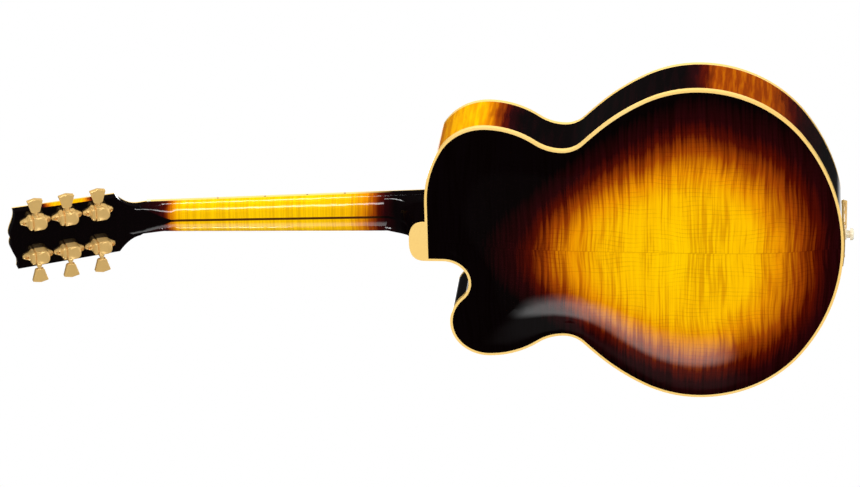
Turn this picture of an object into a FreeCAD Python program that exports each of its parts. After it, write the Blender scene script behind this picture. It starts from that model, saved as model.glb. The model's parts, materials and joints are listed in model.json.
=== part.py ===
"""Archtop guitar with a rounded cutaway, built as separate pieces from one sheet of dimensions.

X points to the bass side, Y to the front and Z to the headstock. The origin is the middle of the nut's
front edge on the fingerboard.
"""
import FreeCAD, Part
import math
import os

import Sketcher
from FreeCAD import Placement, Rotation, Vector

# Lengths in millimetres and angles in degrees
DIMENSIONS = (
    # Layout of neck and body
    ("scale_length", 648.0),
    ("neck_reach", 362.0),
    ("neck_pitch_angle", 4.8),
    ("head_pitch_angle", 18.0),
    ("board_lift", 13.5),
    # Body outline
    ("body_length", 529.0),
    ("lower_bout_width", 432.0),
    ("lower_bout_drop", 346.0),
    ("flank_width", 320.0),
    ("flank_drop", 220.0),
    ("flank_angle", 42.0),
    ("waist_width", 261.0),
    ("waist_drop", 175.0),
    ("upper_bout_width", 322.0),
    ("upper_bout_drop", 78.0),
    ("shoulder_reach", 55.0),
    ("horn_tip_offset", 114.0),
    ("horn_tip_drop", 29.0),
    ("cutaway_offset", 57.5),
    ("cutaway_drop", 54.0),
    ("cutaway_straight", 22.0),
    # Body shell
    ("rim_depth", 86.0),
    ("rim_wall", 2.6),
    ("plate_thickness", 6.5),
    ("binding_width", 3.2),
    ("back_arch", 20.0),
    ("top_arch", 20.0),
    ("arch_grid_step", 11.0),
    ("lining_width", 7.0),
    ("lining_height", 14.0),
    ("neck_block_length", 66.0),
    ("end_block_width", 84.0),
    ("end_block_length", 32.0),
    ("tone_bar_offset", 42.0),
    ("tone_bar_splay_angle", 3.0),
    ("tone_bar_end_gap", 94.0),
    ("tone_bar_width", 8.0),
    ("tone_bar_height", 13.0),
    ("tone_bar_drop", 105.0),
    ("sound_hole_length", 150.0),
    ("sound_hole_slot", 7.0),
    ("sound_hole_hook_radius", 9.5),
    ("sound_hole_eye_radius", 6.2),
    ("sound_hole_offset", 92.0),
    ("sound_hole_drop", 286.0),
    ("sound_hole_lean_angle", 11.0),
    ("sound_hole_notch", 7.0),
    ("sound_hole_notch_width", 1.6),
    # Neck and heel
    ("nut_width", 41.0),
    ("joint_width", 55.5),
    ("neck_depth_at_nut", 15.5),
    ("neck_depth_at_joint", 19.0),
    ("centre_strip_width", 3.2),
    ("throat_length", 38.0),
    ("throat_depth", 4.0),
    ("heel_width", 54.0),
    ("heel_length", 21.0),
    ("heel_cap_thickness", 2.6),
    ("tenon_width", 40.0),
    ("tenon_length", 36.0),
    ("tenon_inset", 14.0),
    ("tongue_width", 38.0),
    ("tongue_length", 70.0),
    # Fingerboard
    ("board_thickness", 6.0),
    ("board_radius", 305.0),
    ("board_overhang", 8.0),
    ("board_point", 14.0),
    ("board_binding_width", 1.6),
    ("fret_height", 1.2),
    ("fret_width", 2.5),
    ("marker_depth", 1.6),
    ("side_dot_radius", 1.25),
    ("side_dot_depth", 1.0),
    ("side_dot_stand", 0.12),
    ("side_dot_spread", 6.0),
    ("nut_length", 5.0),
    # Truss rod
    ("truss_rod_radius", 2.4),
    ("truss_rod_depth", 7.6),
    ("truss_rod_tail", 330.0),
    ("truss_rod_stand", 15.0),
    ("truss_nut_radius", 3.2),
    ("truss_nut_length", 10.0),
    ("truss_nut_start", 7.0),
    ("truss_pocket_radius", 4.2),
    ("truss_pocket_length", 36.0),
    ("truss_cover_start", 5.0),
    ("truss_cover_length", 44.0),
    ("truss_cover_root_width", 30.0),
    ("truss_cover_tip_width", 13.0),
    ("truss_cover_thickness", 2.2),
    # Headstock
    ("head_thickness", 14.2),
    ("head_face_thickness", 2.0),
    ("head_face_drop", 3.0),
    ("head_binding_width", 2.0),
    ("head_ear_width", 77.0),
    ("head_ear_length", 42.5),
    ("head_corner_width", 81.0),
    ("head_corner_length", 177.0),
    ("head_length", 184.0),
    ("head_notch_depth", 1.6),
    ("head_shoulder_angle", 52.0),
    # Tuning machines
    ("post_offset", 24.3),
    ("post_first", 61.5),
    ("post_pitch", 41.0),
    ("post_radius", 3.0),
    ("post_stand", 15.0),
    ("post_hole_radius", 0.9),
    ("post_hole_height", 11.5),
    ("spindle_radius", 2.0),
    ("gear_radius", 5.0),
    ("gear_thickness", 3.6),
    ("worm_radius", 2.2),
    ("worm_length", 11.0),
    ("worm_gap", 7.4),
    ("worm_height", 9.0),
    ("shaft_radius", 1.5),
    ("stem_radius", 2.6),
    ("button_start", 15.6),
    ("button_length", 19.0),
    ("button_width", 21.0),
    ("button_neck_width", 8.4),
    ("button_thickness", 6.4),
    ("button_round", 1.1),
    ("casing_width", 18.5),
    ("casing_height", 15.0),
    ("casing_front", 6.8),
    ("casing_back", 3.5),
    ("casing_round", 2.6),
    ("collar_radius", 3.7),
    ("collar_length", 2.8),
    ("band_width", 15.5),
    ("band_length", 6.6),
    ("band_height", 11.0),
    ("band_groove", 0.8),
    ("ear_root_width", 11.0),
    ("ear_tip_width", 5.2),
    ("ear_root_height", 8.0),
    ("ear_tip_height", 1.6),
    ("rear_ear_length", 9.0),
    ("front_ear_length", 5.6),
    ("bushing_radius", 4.6),
    ("bushing_depth", 9.0),
    ("bushing_flange_radius", 6.6),
    ("bushing_flange_height", 1.4),
    ("screw_head_radius", 1.9),
    ("screw_head_height", 1.2),
    ("screw_shank_radius", 1.0),
    ("screw_length", 10.0),
    # Strings
    ("nut_string_span", 34.5),
    ("bridge_string_span", 52.0),
    ("nut_string_height", 1.7),
    ("saddle_string_height", 6.0),
    ("first_string_diameter", 0.33),
    ("second_string_diameter", 0.43),
    ("third_string_diameter", 0.66),
    ("fourth_string_diameter", 0.89),
    ("fifth_string_diameter", 1.17),
    ("sixth_string_diameter", 1.42),
    ("nut_crown_radius", 7.0),
    ("saddle_crown_radius", 5.0),
    ("winding_start", 4.6),
    ("winding_space", 0.5),
    ("winding_lift", 0.06),
    ("ball_end_radius", 1.9),
    ("ball_end_length", 3.6),
    # Bridge
    ("bridge_base_length", 150.0),
    ("bridge_base_width", 14.0),
    ("bridge_base_height", 7.5),
    ("bridge_base_end_height", 4.5),
    ("bridge_base_flat", 96.0),
    ("bridge_post_spacing", 74.0),
    ("bridge_post_radius", 2.0),
    ("bridge_post_seat", 5.0),
    ("thumbwheel_radius", 8.5),
    ("thumbwheel_height", 3.0),
    ("thumbwheel_groove_radius", 0.6),
    ("bridge_travel_room", 2.2),
    ("saddle_length", 112.0),
    ("saddle_width", 8.0),
    ("saddle_end_height", 5.5),
    ("saddle_post_bore_depth", 6.0),
    # Tailpiece
    ("tailpiece_bar_drop", 380.0),
    ("tailpiece_bar_lift", 32.0),
    ("tailpiece_bar_length", 84.0),
    ("tailpiece_bar_height", 9.0),
    ("tailpiece_bar_width", 10.0),
    ("tailpiece_string_span", 54.0),
    ("tailpiece_leg_radius", 2.6),
    ("tailpiece_leg_spread", 33.0),
    ("hinge_lift", 11.0),
    ("hinge_pin_radius", 1.6),
    ("hinge_barrel_radius", 3.4),
    ("hinge_barrel_length", 24.0),
    ("hinge_eye_length", 8.0),
    ("bracket_width", 62.0),
    ("bracket_thickness", 1.8),
    ("bracket_margin", 13.0),
    ("bracket_screw_offset", 23.0),
    ("bracket_screw_spread", 32.0),
    # Strap button
    ("strap_shank_radius", 4.0),
    ("strap_shank_length", 24.0),
    ("strap_neck_radius", 4.8),
    ("strap_neck_length", 4.5),
    ("strap_head_radius", 7.6),
    ("strap_head_length", 3.2),
    ("strap_dome_radius", 5.4),
    ("strap_dome_length", 1.6),
    ("strap_foot_radius", 7.0),
    ("strap_foot_length", 1.8),
    # Pickguard
    ("guard_length", 172.0),
    ("guard_width", 64.0),
    ("guard_thickness", 3.0),
    ("guard_drop", 3.0),
    ("guard_start", 446.0),
    ("guard_corner_radius", 9.0),
    ("guard_rod_radius", 1.6),
    ("guard_rod_stand", 7.0),
    ("guard_rod_foot_radius", 4.5),
    ("guard_rod_reach", 20.0),
    ("guard_rod_bend_radius", 6.0),
    # Fits
    ("running_clearance", 0.05),
    ("free_clearance", 0.3),
    ("slot_clearance", 0.06),
    ("cut_overrun", 5.0),
)

FRET_COUNT = 20
MARKER_FRETS = (1, 3, 5, 7, 9, 12, 15, 17, 19)
DOT_FRETS = (3, 5, 7, 9, 15, 17, 19)
DOUBLE_DOT_FRET = 12
SIDES = (1, -1)
WINDING_TURNS = 3
GRIP_GROOVES = 28

doc = FreeCAD.newDocument("ArchtopGuitar")
sheet = doc.addObject("Spreadsheet::Sheet", "Dimensions")
for row, (alias, value) in enumerate(DIMENSIONS, 1):
    sheet.set(f"A{row}", alias.replace("_", " "))
    sheet.set(f"B{row}", str(value))
    sheet.setAlias(f"B{row}", alias)
doc.recompute()

subparts = []


class Sizes:
    """The sheet's dimensions as attributes."""

    def __getattr__(self, alias):
        return float(sheet.get(alias))


dim = Sizes()


def total(terms):
    """Sum of signed sheet names such as 'rim_depth - rim_wall'."""
    value, sign = 0.0, 1.0
    for term in terms.split():
        if term in "+-":
            sign = 1.0 if term == "+" else -1.0
        else:
            value += sign * getattr(dim, term)
    return value


def formula(terms):
    """The same sum as an expression on the sheet."""
    return " ".join(term if term in "+-" else f"Dimensions.{term}" for term in terms.split())


def keep(label, shape, frame=None):
    """A finished sub-part whose shape is worked out from the sheet."""
    piece = doc.addObject("Part::Feature", label)
    piece.Label = label
    piece.Shape = shape
    if frame is not None:
        piece.Placement = frame.multiply(piece.Placement)
    subparts.append(piece)
    return piece


def helper(label, shape):
    """A construction shape that isn't a sub-part."""
    piece = doc.addObject("Part::Feature", label)
    piece.Shape = shape
    return piece


def moved(shape, frame):
    """Copy of a shape carried into a frame."""
    copy = shape.copy()
    copy.Placement = frame.multiply(copy.Placement)
    return copy


def solids(shape):
    """A lone solid, or the compound of several."""
    return shape.Solids[0] if len(shape.Solids) == 1 else Part.makeCompound(shape.Solids)


def box(low, high):
    """Block between two corners."""
    return Part.makeBox(high.x - low.x, high.y - low.y, high.z - low.z, low)


def rod(start, end, radius):
    """Round bar between two points."""
    return Part.makeCylinder(radius, (end - start).Length, start, end - start)


def polygon(points):
    """Closed straight-sided face."""
    return Part.Face(Part.makePolygon(list(points) + [points[0]]))


def fused(shapes):
    """One solid from overlapping shapes."""
    return solids(shapes[0].multiFuse(shapes[1:]).removeSplitter())


def bind(piece, **terms):
    """Tie properties of a piece to the sheet."""
    for name, text in terms.items():
        piece.setExpression(name, formula(text))
    return piece


def sketch_of(body, role, points):
    """Closed sketch whose corners are tied to the sheet."""
    plane = [item for item in body.Origin.OriginFeatures if item.Role == role][0]
    drawing = body.newObject("Sketcher::SketchObject", body.Name + "_profile")
    drawing.AttachmentSupport = [(plane, "")]
    drawing.MapMode = "FlatFace"
    corners = [Vector(total(across), total(along), 0) for across, along in points]
    for index, corner in enumerate(corners):
        drawing.addGeometry(Part.LineSegment(corner, corners[(index + 1) % len(corners)]))
    for index in range(len(corners)):
        drawing.addConstraint(Sketcher.Constraint("Coincident", index, 2, (index + 1) % len(corners), 1))
    for index, terms in enumerate(points):
        for kind, text in zip(("DistanceX", "DistanceY"), terms):
            number = drawing.addConstraint(Sketcher.Constraint(kind, -1, 1, index, 1, total(text)))
            if text:
                drawing.setExpression(f"Constraints[{number}]", formula(text))
    return drawing


def turned(label, points):
    """Body turned about its Z axis from radius and height terms."""
    body = doc.addObject("PartDesign::Body", label)
    drawing = sketch_of(body, "XZ_Plane", points)
    spin = body.newObject("PartDesign::Revolution", label + "_turning")
    spin.Profile = drawing
    spin.ReferenceAxis = (drawing, ["V_Axis"])
    spin.Angle = 360
    doc.recompute()
    return body


def padded(label, points, length_terms):
    """Body padded along Y from a profile in X and Z."""
    body = doc.addObject("PartDesign::Body", label)
    drawing = sketch_of(body, "XZ_Plane", points)
    pad = body.newObject("PartDesign::Pad", label + "_pad")
    pad.Profile = drawing
    bind(pad, Length=length_terms)
    doc.recompute()
    return body


# Frames of the neck and of the headstock

neck_frame = Placement(Vector(), Rotation(Vector(1, 0, 0), dim.neck_pitch_angle))
head_frame = neck_frame.multiply(
    Placement(Vector(0, -dim.head_face_drop, dim.nut_length), Rotation(Vector(1, 0, 0), dim.head_pitch_angle))
)
pitch = math.radians(dim.neck_pitch_angle)
body_top = -dim.neck_reach
front = dim.neck_reach * math.tan(pitch) - dim.board_lift
back = front - dim.rim_depth
tail = body_top - dim.body_length
over = dim.cut_overrun
UP = Vector(0, 1, 0)
even_bend_share = 0.5


# Curves of tangent arcs

def biarc(start, start_way, end, end_way, bend_share):
    """Two arcs that leave and arrive along given directions."""
    start_way, end_way = Vector(start_way).normalize(), Vector(end_way).normalize()
    chord = end - start
    square = 2 * bend_share * (1 - bend_share) * (start_way.dot(end_way) - 1)
    slope = -2 * chord.dot(start_way * bend_share + end_way * (1 - bend_share))
    level = chord.dot(chord)
    if abs(square) < 1e-9:
        reach = -level / slope
    else:
        reach = (-slope - math.sqrt(slope * slope - 4 * square * level)) / (2 * square)
    first, second = bend_share * reach, (1 - bend_share) * reach
    near, far = start + start_way * first, end - end_way * second
    joint = (near * second + far * first) * (1 / reach)
    return (arc_points(start, near, joint), arc_points(joint, far, end))


def arc_points(start, corner, end):
    """Start, middle and end of the arc inside a corner."""
    centre = (start + end) * 0.5
    lean = (corner - start).getAngle(end - start)
    inward = corner - centre
    if inward.Length < 1e-9:
        return (start, centre, end)
    return (start, centre + inward.normalize() * ((end - start).Length / 2 * math.tan(lean / 2)), end)


def arc_edge(points):
    """Edge through three points."""
    start, middle, end = points
    if (middle - (start + end) * 0.5).Length < 1e-7:
        return Part.LineSegment(start, end).toShape()
    return Part.Arc(start, middle, end).toShape()


def rounded_path(points, radii):
    """Straight runs joined by tangent arcs, one radius for each inner point."""
    edges, last = [], points[0]
    for index, radius in enumerate(radii, 1):
        corner = points[index]
        to_last = (points[index - 1] - corner).normalize()
        to_next = (points[index + 1] - corner).normalize()
        reach = radius / math.tan(to_last.getAngle(to_next) / 2)
        start, end = corner + to_last * reach, corner + to_next * reach
        edges.append(Part.LineSegment(last, start).toShape())
        edges.append(arc_edge(arc_points(start, corner, end)))
        last = end
    edges.append(Part.LineSegment(last, points[-1]).toShape())
    return Part.Wire(edges)


def tube(path, radius):
    """Round tube along a path."""
    start = path.OrderedEdges[0]
    way = start.tangentAt(start.FirstParameter)
    point = start.valueAt(start.FirstParameter)
    ring = Part.Wire(Part.Circle(point, way, radius).toShape())
    return path.makePipeShell([ring], True, False)


# Body outline seen from the front, from the heel corner round the bass side

def outline_knots():
    """Points, directions and bend shares of the outline."""
    lower, waist = dim.lower_bout_width / 2, dim.waist_width / 2
    upper, flank = dim.upper_bout_width / 2, dim.flank_width / 2
    lean = math.radians(dim.flank_angle)
    side, run = math.sin(lean), math.cos(lean)
    heel = -dim.heel_width / 2
    bend_shares = {"even": even_bend_share, "shoulder": 0.5, "bout": 0.66, "horn": 0.5, "hook": 0.62}
    return (
        ((dim.shoulder_reach, 0), (1, 0), bend_shares["even"]),
        ((upper, -dim.upper_bout_drop), (0, -1), bend_shares["shoulder"]),
        ((waist, -dim.waist_drop), (0, -1), bend_shares["bout"]),
        ((flank, -dim.flank_drop), (side, -run), bend_shares["even"]),
        ((lower, -dim.lower_bout_drop), (0, -1), bend_shares["even"]),
        ((0, -dim.body_length), (-1, 0), bend_shares["even"]),
        ((-lower, -dim.lower_bout_drop), (0, 1), bend_shares["even"]),
        ((-flank, -dim.flank_drop), (side, run), bend_shares["even"]),
        ((-waist, -dim.waist_drop), (0, 1), bend_shares["even"]),
        ((-upper, -dim.upper_bout_drop), (0, 1), 1 - bend_shares["bout"]),
        ((-dim.horn_tip_offset, -dim.horn_tip_drop), (1, 0), bend_shares["horn"]),
        ((-dim.cutaway_offset, -dim.cutaway_drop), (1, 0), bend_shares["hook"]),
        ((heel, -dim.cutaway_straight), (0, 1), bend_shares["horn"]),
    )


def outline_arcs():
    """Arcs of the outline with the inward direction at each of their points."""
    knots, arcs = outline_knots(), []
    for (place, way, _), (next_place, next_way, share) in zip(knots, knots[1:]):
        ends = [Vector(x, 0, body_top + z) for x, z in (place, next_place)]
        ways = [Vector(x, 0, z) for x, z in (way, next_way)]
        pair = biarc(ends[0], ways[0], ends[1], ways[1], share)
        middle_way = arc_end_way(pair[0], ways[0])
        for points, first_way, last_way in zip(pair, (ways[0], middle_way), (middle_way, ways[1])):
            chord = points[2] - points[0]
            inward = [UP.cross(Vector(item)).normalize() for item in (first_way, chord, last_way)]
            arcs.append((points, inward))
    return arcs


def arc_end_way(points, start_way):
    """Direction at the end of an arc from the direction at its start."""
    chord = (points[2] - points[0]).normalize()
    start_way = Vector(start_way).normalize()
    return chord * (2 * chord.dot(start_way)) - start_way


body_arcs = outline_arcs()
heel_edge = -dim.heel_width / 2


def outline(inset, height):
    """Outline wire moved inwards by an inset, at a height along Y."""
    edges = []
    for points, inward in body_arcs:
        edges.append(arc_edge([p + n * inset + UP * height for p, n in zip(points, inward)]))
    corner = Vector(heel_edge + inset, height, body_top - inset)
    last, first = edges[-1].lastVertex().Point, edges[0].firstVertex().Point
    closing = [Part.LineSegment(last, corner).toShape(), Part.LineSegment(corner, first).toShape()]
    return Part.Wire(edges + closing)


def slab(inset, low, high):
    """Solid of the outline between two heights."""
    return Part.Face(outline(inset, low)).extrude(Vector(0, high - low, 0))


def ring(outer, inner, low, high):
    """Solid wall between two insets."""
    return solids(slab(outer, low, high).cut(slab(inner, low - over, high + over)))


# Arched plates

def arch_field():
    """Arch rise from 0 at the edge to 1 at the crown, on a grid past the outline."""
    corners = []
    for edge in outline(dim.binding_width, 0).OrderedEdges:
        corners += [(p.x, p.z) for p in edge.discretize(Number=9)[:-1]]
    step, margin = dim.arch_grid_step, 2 * dim.arch_grid_step
    half = dim.lower_bout_width / 2 + margin
    columns = int(2 * half / step) + 1
    rows = int((dim.body_length + 2 * margin) / step) + 1
    across = [-half + 2 * half * i / (columns - 1) for i in range(columns)]
    along = [tail - margin + (dim.body_length + 2 * margin) * j / (rows - 1) for j in range(rows)]
    depth = [[edge_depth(corners, x, z) for z in along] for x in across]
    deepest = max(max(row) for row in depth)
    rise = [[smooth(value / deepest) for value in row] for row in depth]
    return across, along, rise


def smooth(share):
    """Level at both ends of the climb."""
    return share * share * (3 - 2 * share)


def edge_depth(corners, x, z):
    """Mean depth of a point inside a closed outline, 0 outside it."""
    weight = 0.0
    last_x, last_z = corners[-1][0] - x, corners[-1][1] - z
    last_far = math.hypot(last_x, last_z)
    for corner_x, corner_z in corners:
        next_x, next_z = corner_x - x, corner_z - z
        far = math.hypot(next_x, next_z)
        turn = next_x * last_z - next_z * last_x
        weight += (1 / last_far + 1 / far) * turn / (last_far * far + last_x * next_x + last_z * next_z)
        last_x, last_z, last_far = next_x, next_z, far
    return 2 / weight if weight > 0 else 0.0


arch_across, arch_along, arch_rise = arch_field()


def arch_face(level, height):
    """Arched face at a level of the edge, with its crown at a signed height."""
    grid = [
        [Vector(x, level + height * arch_rise[i][j], z) for j, z in enumerate(arch_along)]
        for i, x in enumerate(arch_across)
    ]
    surface = Part.BSplineSurface()
    surface.interpolate(grid)
    return surface.toShape()


def sound_hole(side):
    """Cutter of one f-shaped sound hole."""
    hook, eye, slot = dim.sound_hole_hook_radius, dim.sound_hole_eye_radius, dim.sound_hole_slot / 2
    half, lean = dim.sound_hole_length / 2 - hook - slot, math.radians(dim.sound_hole_lean_angle)
    middle = Vector(side * dim.sound_hole_offset, 0, body_top - dim.sound_hole_drop)
    along = Vector(-side * math.sin(lean), 0, math.cos(lean))
    across = Vector(side * math.cos(lean), 0, math.sin(lean))
    stem, foot = middle + along * half, middle - along * half
    top_eye, low_eye = stem - across * (2 * hook), foot + across * (2 * hook)
    runs = [
        Part.Arc(top_eye, stem + (along - across) * hook, stem).toShape(),
        Part.LineSegment(stem, foot).toShape(),
        Part.Arc(foot, foot - (along - across) * hook, low_eye).toShape(),
    ]
    low, high = front - dim.plate_thickness - over, front + dim.top_arch + over
    pieces = [rod(p + UP * low, p + UP * high, eye) for p in (top_eye, low_eye)]
    for run in runs:
        points = run.discretize(Number=9)
        for start, end in zip(points, points[1:]):
            wide = UP.cross(end - start).normalize() * slot
            face = polygon([p + UP * low for p in (start - wide, start + wide, end + wide, end - wide)])
            pieces.append(face.extrude(UP * (high - low)))
            pieces.append(rod(end + UP * low, end + UP * high, slot))
    notch, wide = dim.sound_hole_notch, dim.sound_hole_notch_width / 2
    face = polygon([middle + across * (notch * a) + along * (wide * b) + UP * low
                    for a, b in ((-1, -1), (1, -1), (1, 1), (-1, 1))])
    pieces.append(face.extrude(UP * (high - low)))
    return fused(pieces)


binding = dim.binding_width
plate = dim.plate_thickness
back_outer, top_outer = arch_face(back, -dim.back_arch), arch_face(front, dim.top_arch)
back_blank = back_outer.extrude(UP * plate)
top_blank = top_outer.extrude(UP * -plate)
under_top = arch_face(front, dim.top_arch).extrude(UP * -(dim.rim_depth / 2))
under_top_inside = arch_face(front - plate, dim.top_arch).extrude(UP * -(dim.rim_depth / 2))
reach_out = dim.back_arch + over
plan = slab(binding, back - reach_out, front + dim.top_arch + over)

keep("back_plate", solids(back_blank.common(plan)))
top_shape = top_blank.common(plan)
for side in SIDES:
    top_shape = top_shape.cut(sound_hole(side))
keep("top_plate", solids(top_shape))
keep("back_binding", ring(0, binding, back, back + plate))
keep("top_binding", ring(0, binding, front - plate, front))

# Tenon, strap hole and bracket screws pass through the rim and the blocks

middle_height = (front + back) / 2
tenon_low, tenon_high = back + plate + dim.tenon_inset, front - plate
tenon = box(
    Vector(-dim.tenon_width / 2, tenon_low, body_top - dim.tenon_length),
    Vector(dim.tenon_width / 2, tenon_high, body_top + over),
)
strap_seat = Vector(0, middle_height, tail - dim.bracket_thickness)
strap_depth = Vector(0, 0, dim.strap_shank_length + dim.bracket_thickness)
strap_hole = rod(strap_seat, strap_seat + strap_depth, dim.strap_shank_radius)
bracket_screw_places = [
    Vector(x * dim.bracket_screw_offset, middle_height + y * dim.bracket_screw_spread / 2, 0)
    for x in SIDES for y in SIDES
]


def tail_edge(x):
    """Outline height at the tail for a distance from the centre line."""
    line = Part.LineSegment(Vector(x, 0, tail - over), Vector(x, 0, tail + dim.end_block_length)).toShape()
    return outline(0, 0).distToShape(line)[1][0][0].z


bracket_screws = []
for place in bracket_screw_places:
    bracket_screws.append(Vector(place.x, place.y, tail_edge(place.x) - dim.bracket_thickness))
screw_cuts = [
    rod(p, p + Vector(0, 0, dim.screw_length), dim.screw_shank_radius) for p in bracket_screws
]
screw_seats = [
    rod(p - Vector(0, 0, over), p, dim.screw_head_radius + dim.slot_clearance) for p in bracket_screws
]
wall = dim.rim_wall
rim = ring(0, wall, back + plate, front - plate)
rim = rim.cut(Part.makeCompound([tenon, strap_hole])).cut(Part.makeCompound(screw_cuts))
wide, tall = dim.lower_bout_width, dim.body_length + over
half_space = box(Vector(0, back, body_top - tall), Vector(wide, front, body_top + over))
keep("rim_bass", solids(rim.common(half_space)))
keep("rim_treble", solids(rim.cut(half_space)))

# Blocks are boxes trimmed to the inside of the rim

inside = helper("rim_inside", slab(wall, back, front))
neck_block_box = doc.addObject("Part::Box", "neck_block_box")
rim_terms = "rim_depth - plate_thickness - plate_thickness"
bind(neck_block_box, Length="shoulder_reach + tenon_width", Width=rim_terms, Height="neck_block_length")
neck_block_box.Placement.Base = Vector(-dim.tenon_width / 2 - dim.rim_wall, back + plate,
                                       body_top - dim.neck_block_length)
end_block_box = doc.addObject("Part::Box", "end_block_box")
bind(end_block_box, Length="end_block_width", Width=rim_terms, Height="end_block_length")
end_block_box.Placement.Base = Vector(-dim.end_block_width / 2, back + plate, tail)
blocks = []
for label, blank, cutter in (
    ("neck_block", neck_block_box, tenon),
    ("end_block", end_block_box, Part.makeCompound([strap_hole] + screw_cuts)),
):
    fitted = doc.addObject("Part::Common", label + "_fitted")
    fitted.Base, fitted.Tool = blank, inside
    hole = helper(label + "_hole", cutter)
    piece = doc.addObject("Part::Cut", label)
    piece.Base, piece.Tool = fitted, hole
    piece.Label = label
    doc.recompute()
    subparts.append(piece)
    blocks.append(piece.Shape)

lining = dim.lining_width
for label, low in (("back_lining", back + plate), ("top_lining", front - plate - dim.lining_height)):
    strip = ring(wall, wall + lining, low, low + dim.lining_height)
    keep(label, solids(strip.cut(Part.makeCompound([neck_block_box.Shape, end_block_box.Shape]))))

bars = []
bar_length = dim.body_length - dim.tone_bar_drop - dim.tone_bar_end_gap
for side in SIDES:
    bar = Part.makeBox(dim.tone_bar_width, dim.top_arch + dim.tone_bar_height, bar_length,
                       Vector(-dim.tone_bar_width / 2, 0, -bar_length))
    bar.Placement = Placement(
        Vector(side * dim.tone_bar_offset, front - plate - dim.tone_bar_height, body_top - dim.tone_bar_drop),
        Rotation(UP, -side * dim.tone_bar_splay_angle),
    )
    bars.append(solids(bar.common(under_top_inside)))
trimmed = []
for bar in bars:
    floor = arch_face(front - plate - dim.tone_bar_height, dim.top_arch).extrude(UP * -dim.rim_depth)
    trimmed.append(solids(bar.cut(floor)))
keep("tone_bars", Part.makeCompound(trimmed))


# Neck: shaft, headstock, heel, tongue and tenon, then cut into three strips

def half_round(width, depth, roundness, top, station, upright):
    """Rounded profile under a flat top, square to the neck or lying on the body."""
    points = []
    for index in range(17):
        turn = math.pi * index / 16
        x = width / 2 * math.copysign(abs(math.cos(turn)) ** (2 / roundness), math.cos(turn))
        y = depth * abs(math.sin(turn)) ** (2 / roundness)
        points.append(Vector(x, station, top + y) if upright else Vector(x, top - y, station))
    curve = Part.BSplineCurve()
    curve.interpolate(points)
    return Part.Wire([curve.toShape(), Part.LineSegment(points[-1], points[0]).toShape()])


def neck_width(distance):
    """Width of the neck and board at a distance from the nut."""
    return dim.nut_width + (dim.joint_width - dim.nut_width) * distance / dim.neck_reach


shaft_roundness, heel_roundness, blend_roundness = 2.15, 2.7, 2.3
shaft_end = dim.neck_reach + dim.heel_length
shaft_top = -dim.board_thickness
shaft = Part.makeLoft([
    half_round(dim.nut_width, dim.neck_depth_at_nut, shaft_roundness, shaft_top, dim.nut_length, False),
    half_round(neck_width(shaft_end), dim.neck_depth_at_joint, shaft_roundness, shaft_top, -shaft_end, False),
], True, True)
shaft = moved(shaft, neck_frame)

board_foot = front + dim.board_lift - dim.board_thickness
shaft_back = board_foot - dim.neck_depth_at_joint
heel_height_shares = (0, 0.36, 0.66, 0.84, 0.94, 1.06)
heel_length_shares = (1, 1.08, 1.36, 1.9, 2.6, 4.0)
heel_taper_share = 0.5
heel_low = back + dim.heel_cap_thickness
heel_sections = []
for height_share, length_share in zip(heel_height_shares, heel_length_shares):
    level = heel_low + (shaft_back - heel_low) * height_share
    widening = (dim.joint_width - dim.heel_width) * heel_taper_share
    width = dim.heel_width + widening * min(height_share, 1)
    heel_sections.append(
        half_round(width, dim.heel_length * length_share, heel_roundness, body_top, level, True)
    )
heel = Part.makeLoft(heel_sections, True, False)


def mitred(point, way_in, way_out, inset):
    """Corner moved inwards between two directions."""
    sides = [Vector(-way.z, 0, way.x).normalize() for way in (way_in, way_out)]
    return point + (sides[0] + sides[1]) * (inset / (1 + sides[0].dot(sides[1])))


def head_outline(inset):
    """Headstock plan: waist behind the nut, ears, sides and a moustache tip."""
    root, ear = dim.nut_width / 2, dim.head_ear_width / 2
    corner, length = dim.head_corner_width / 2, dim.head_length
    lean = math.radians(dim.head_shoulder_angle)
    rise = length - dim.head_corner_length
    straight_share = 0.28
    start = Vector(root - inset, 0, 0)
    bend = Vector(root - inset, 0, dim.head_ear_length * straight_share)
    flare_way = Vector(math.sin(lean), 0, math.cos(lean))
    ear_tip = Vector(ear, 0, dim.head_ear_length)
    side_tip = Vector(corner, 0, dim.head_corner_length)
    tip_across_shares, tip_rise_shares = (0.79, 0.53, 0.25), (-0.08, 0.42, 1.0)
    tip = [side_tip]
    tip += [Vector(corner * a, 0, dim.head_corner_length + rise * r)
            for a, r in zip(tip_across_shares, tip_rise_shares)]
    tip.append(Vector(0, 0, length - dim.head_notch_depth))
    curve = Part.BSplineCurve()
    curve.interpolate(tip)
    ways = [curve.tangent(curve.parameter(spot))[0] for spot in tip]
    ways_in = [side_tip - ear_tip] + ways[1:]
    ways_out = ways[:-1] + [Vector(ways[-1].x, 0, -ways[-1].z)]
    tip = [mitred(spot, way_in, way_out, inset) for spot, way_in, way_out in zip(tip, ways_in, ways_out)]
    ear_tip = mitred(ear_tip, flare_way, side_tip - ear_tip, inset)
    flare = biarc(bend, Vector(0, 0, 1), ear_tip, flare_way, even_bend_share)
    edge = Part.BSplineCurve()
    edge.interpolate(tip)
    half = [Part.LineSegment(start, bend).toShape()]
    half += [arc_edge(points) for points in flare]
    half += [Part.LineSegment(ear_tip, tip[0]).toShape(), edge.toShape()]
    other = [item.mirror(Vector(), Vector(1, 0, 0)) for item in half]
    root_line = Part.LineSegment(Vector(-start.x, 0, 0), start).toShape()
    return Part.Wire(Part.sortEdges([root_line] + half + other)[0])


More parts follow.
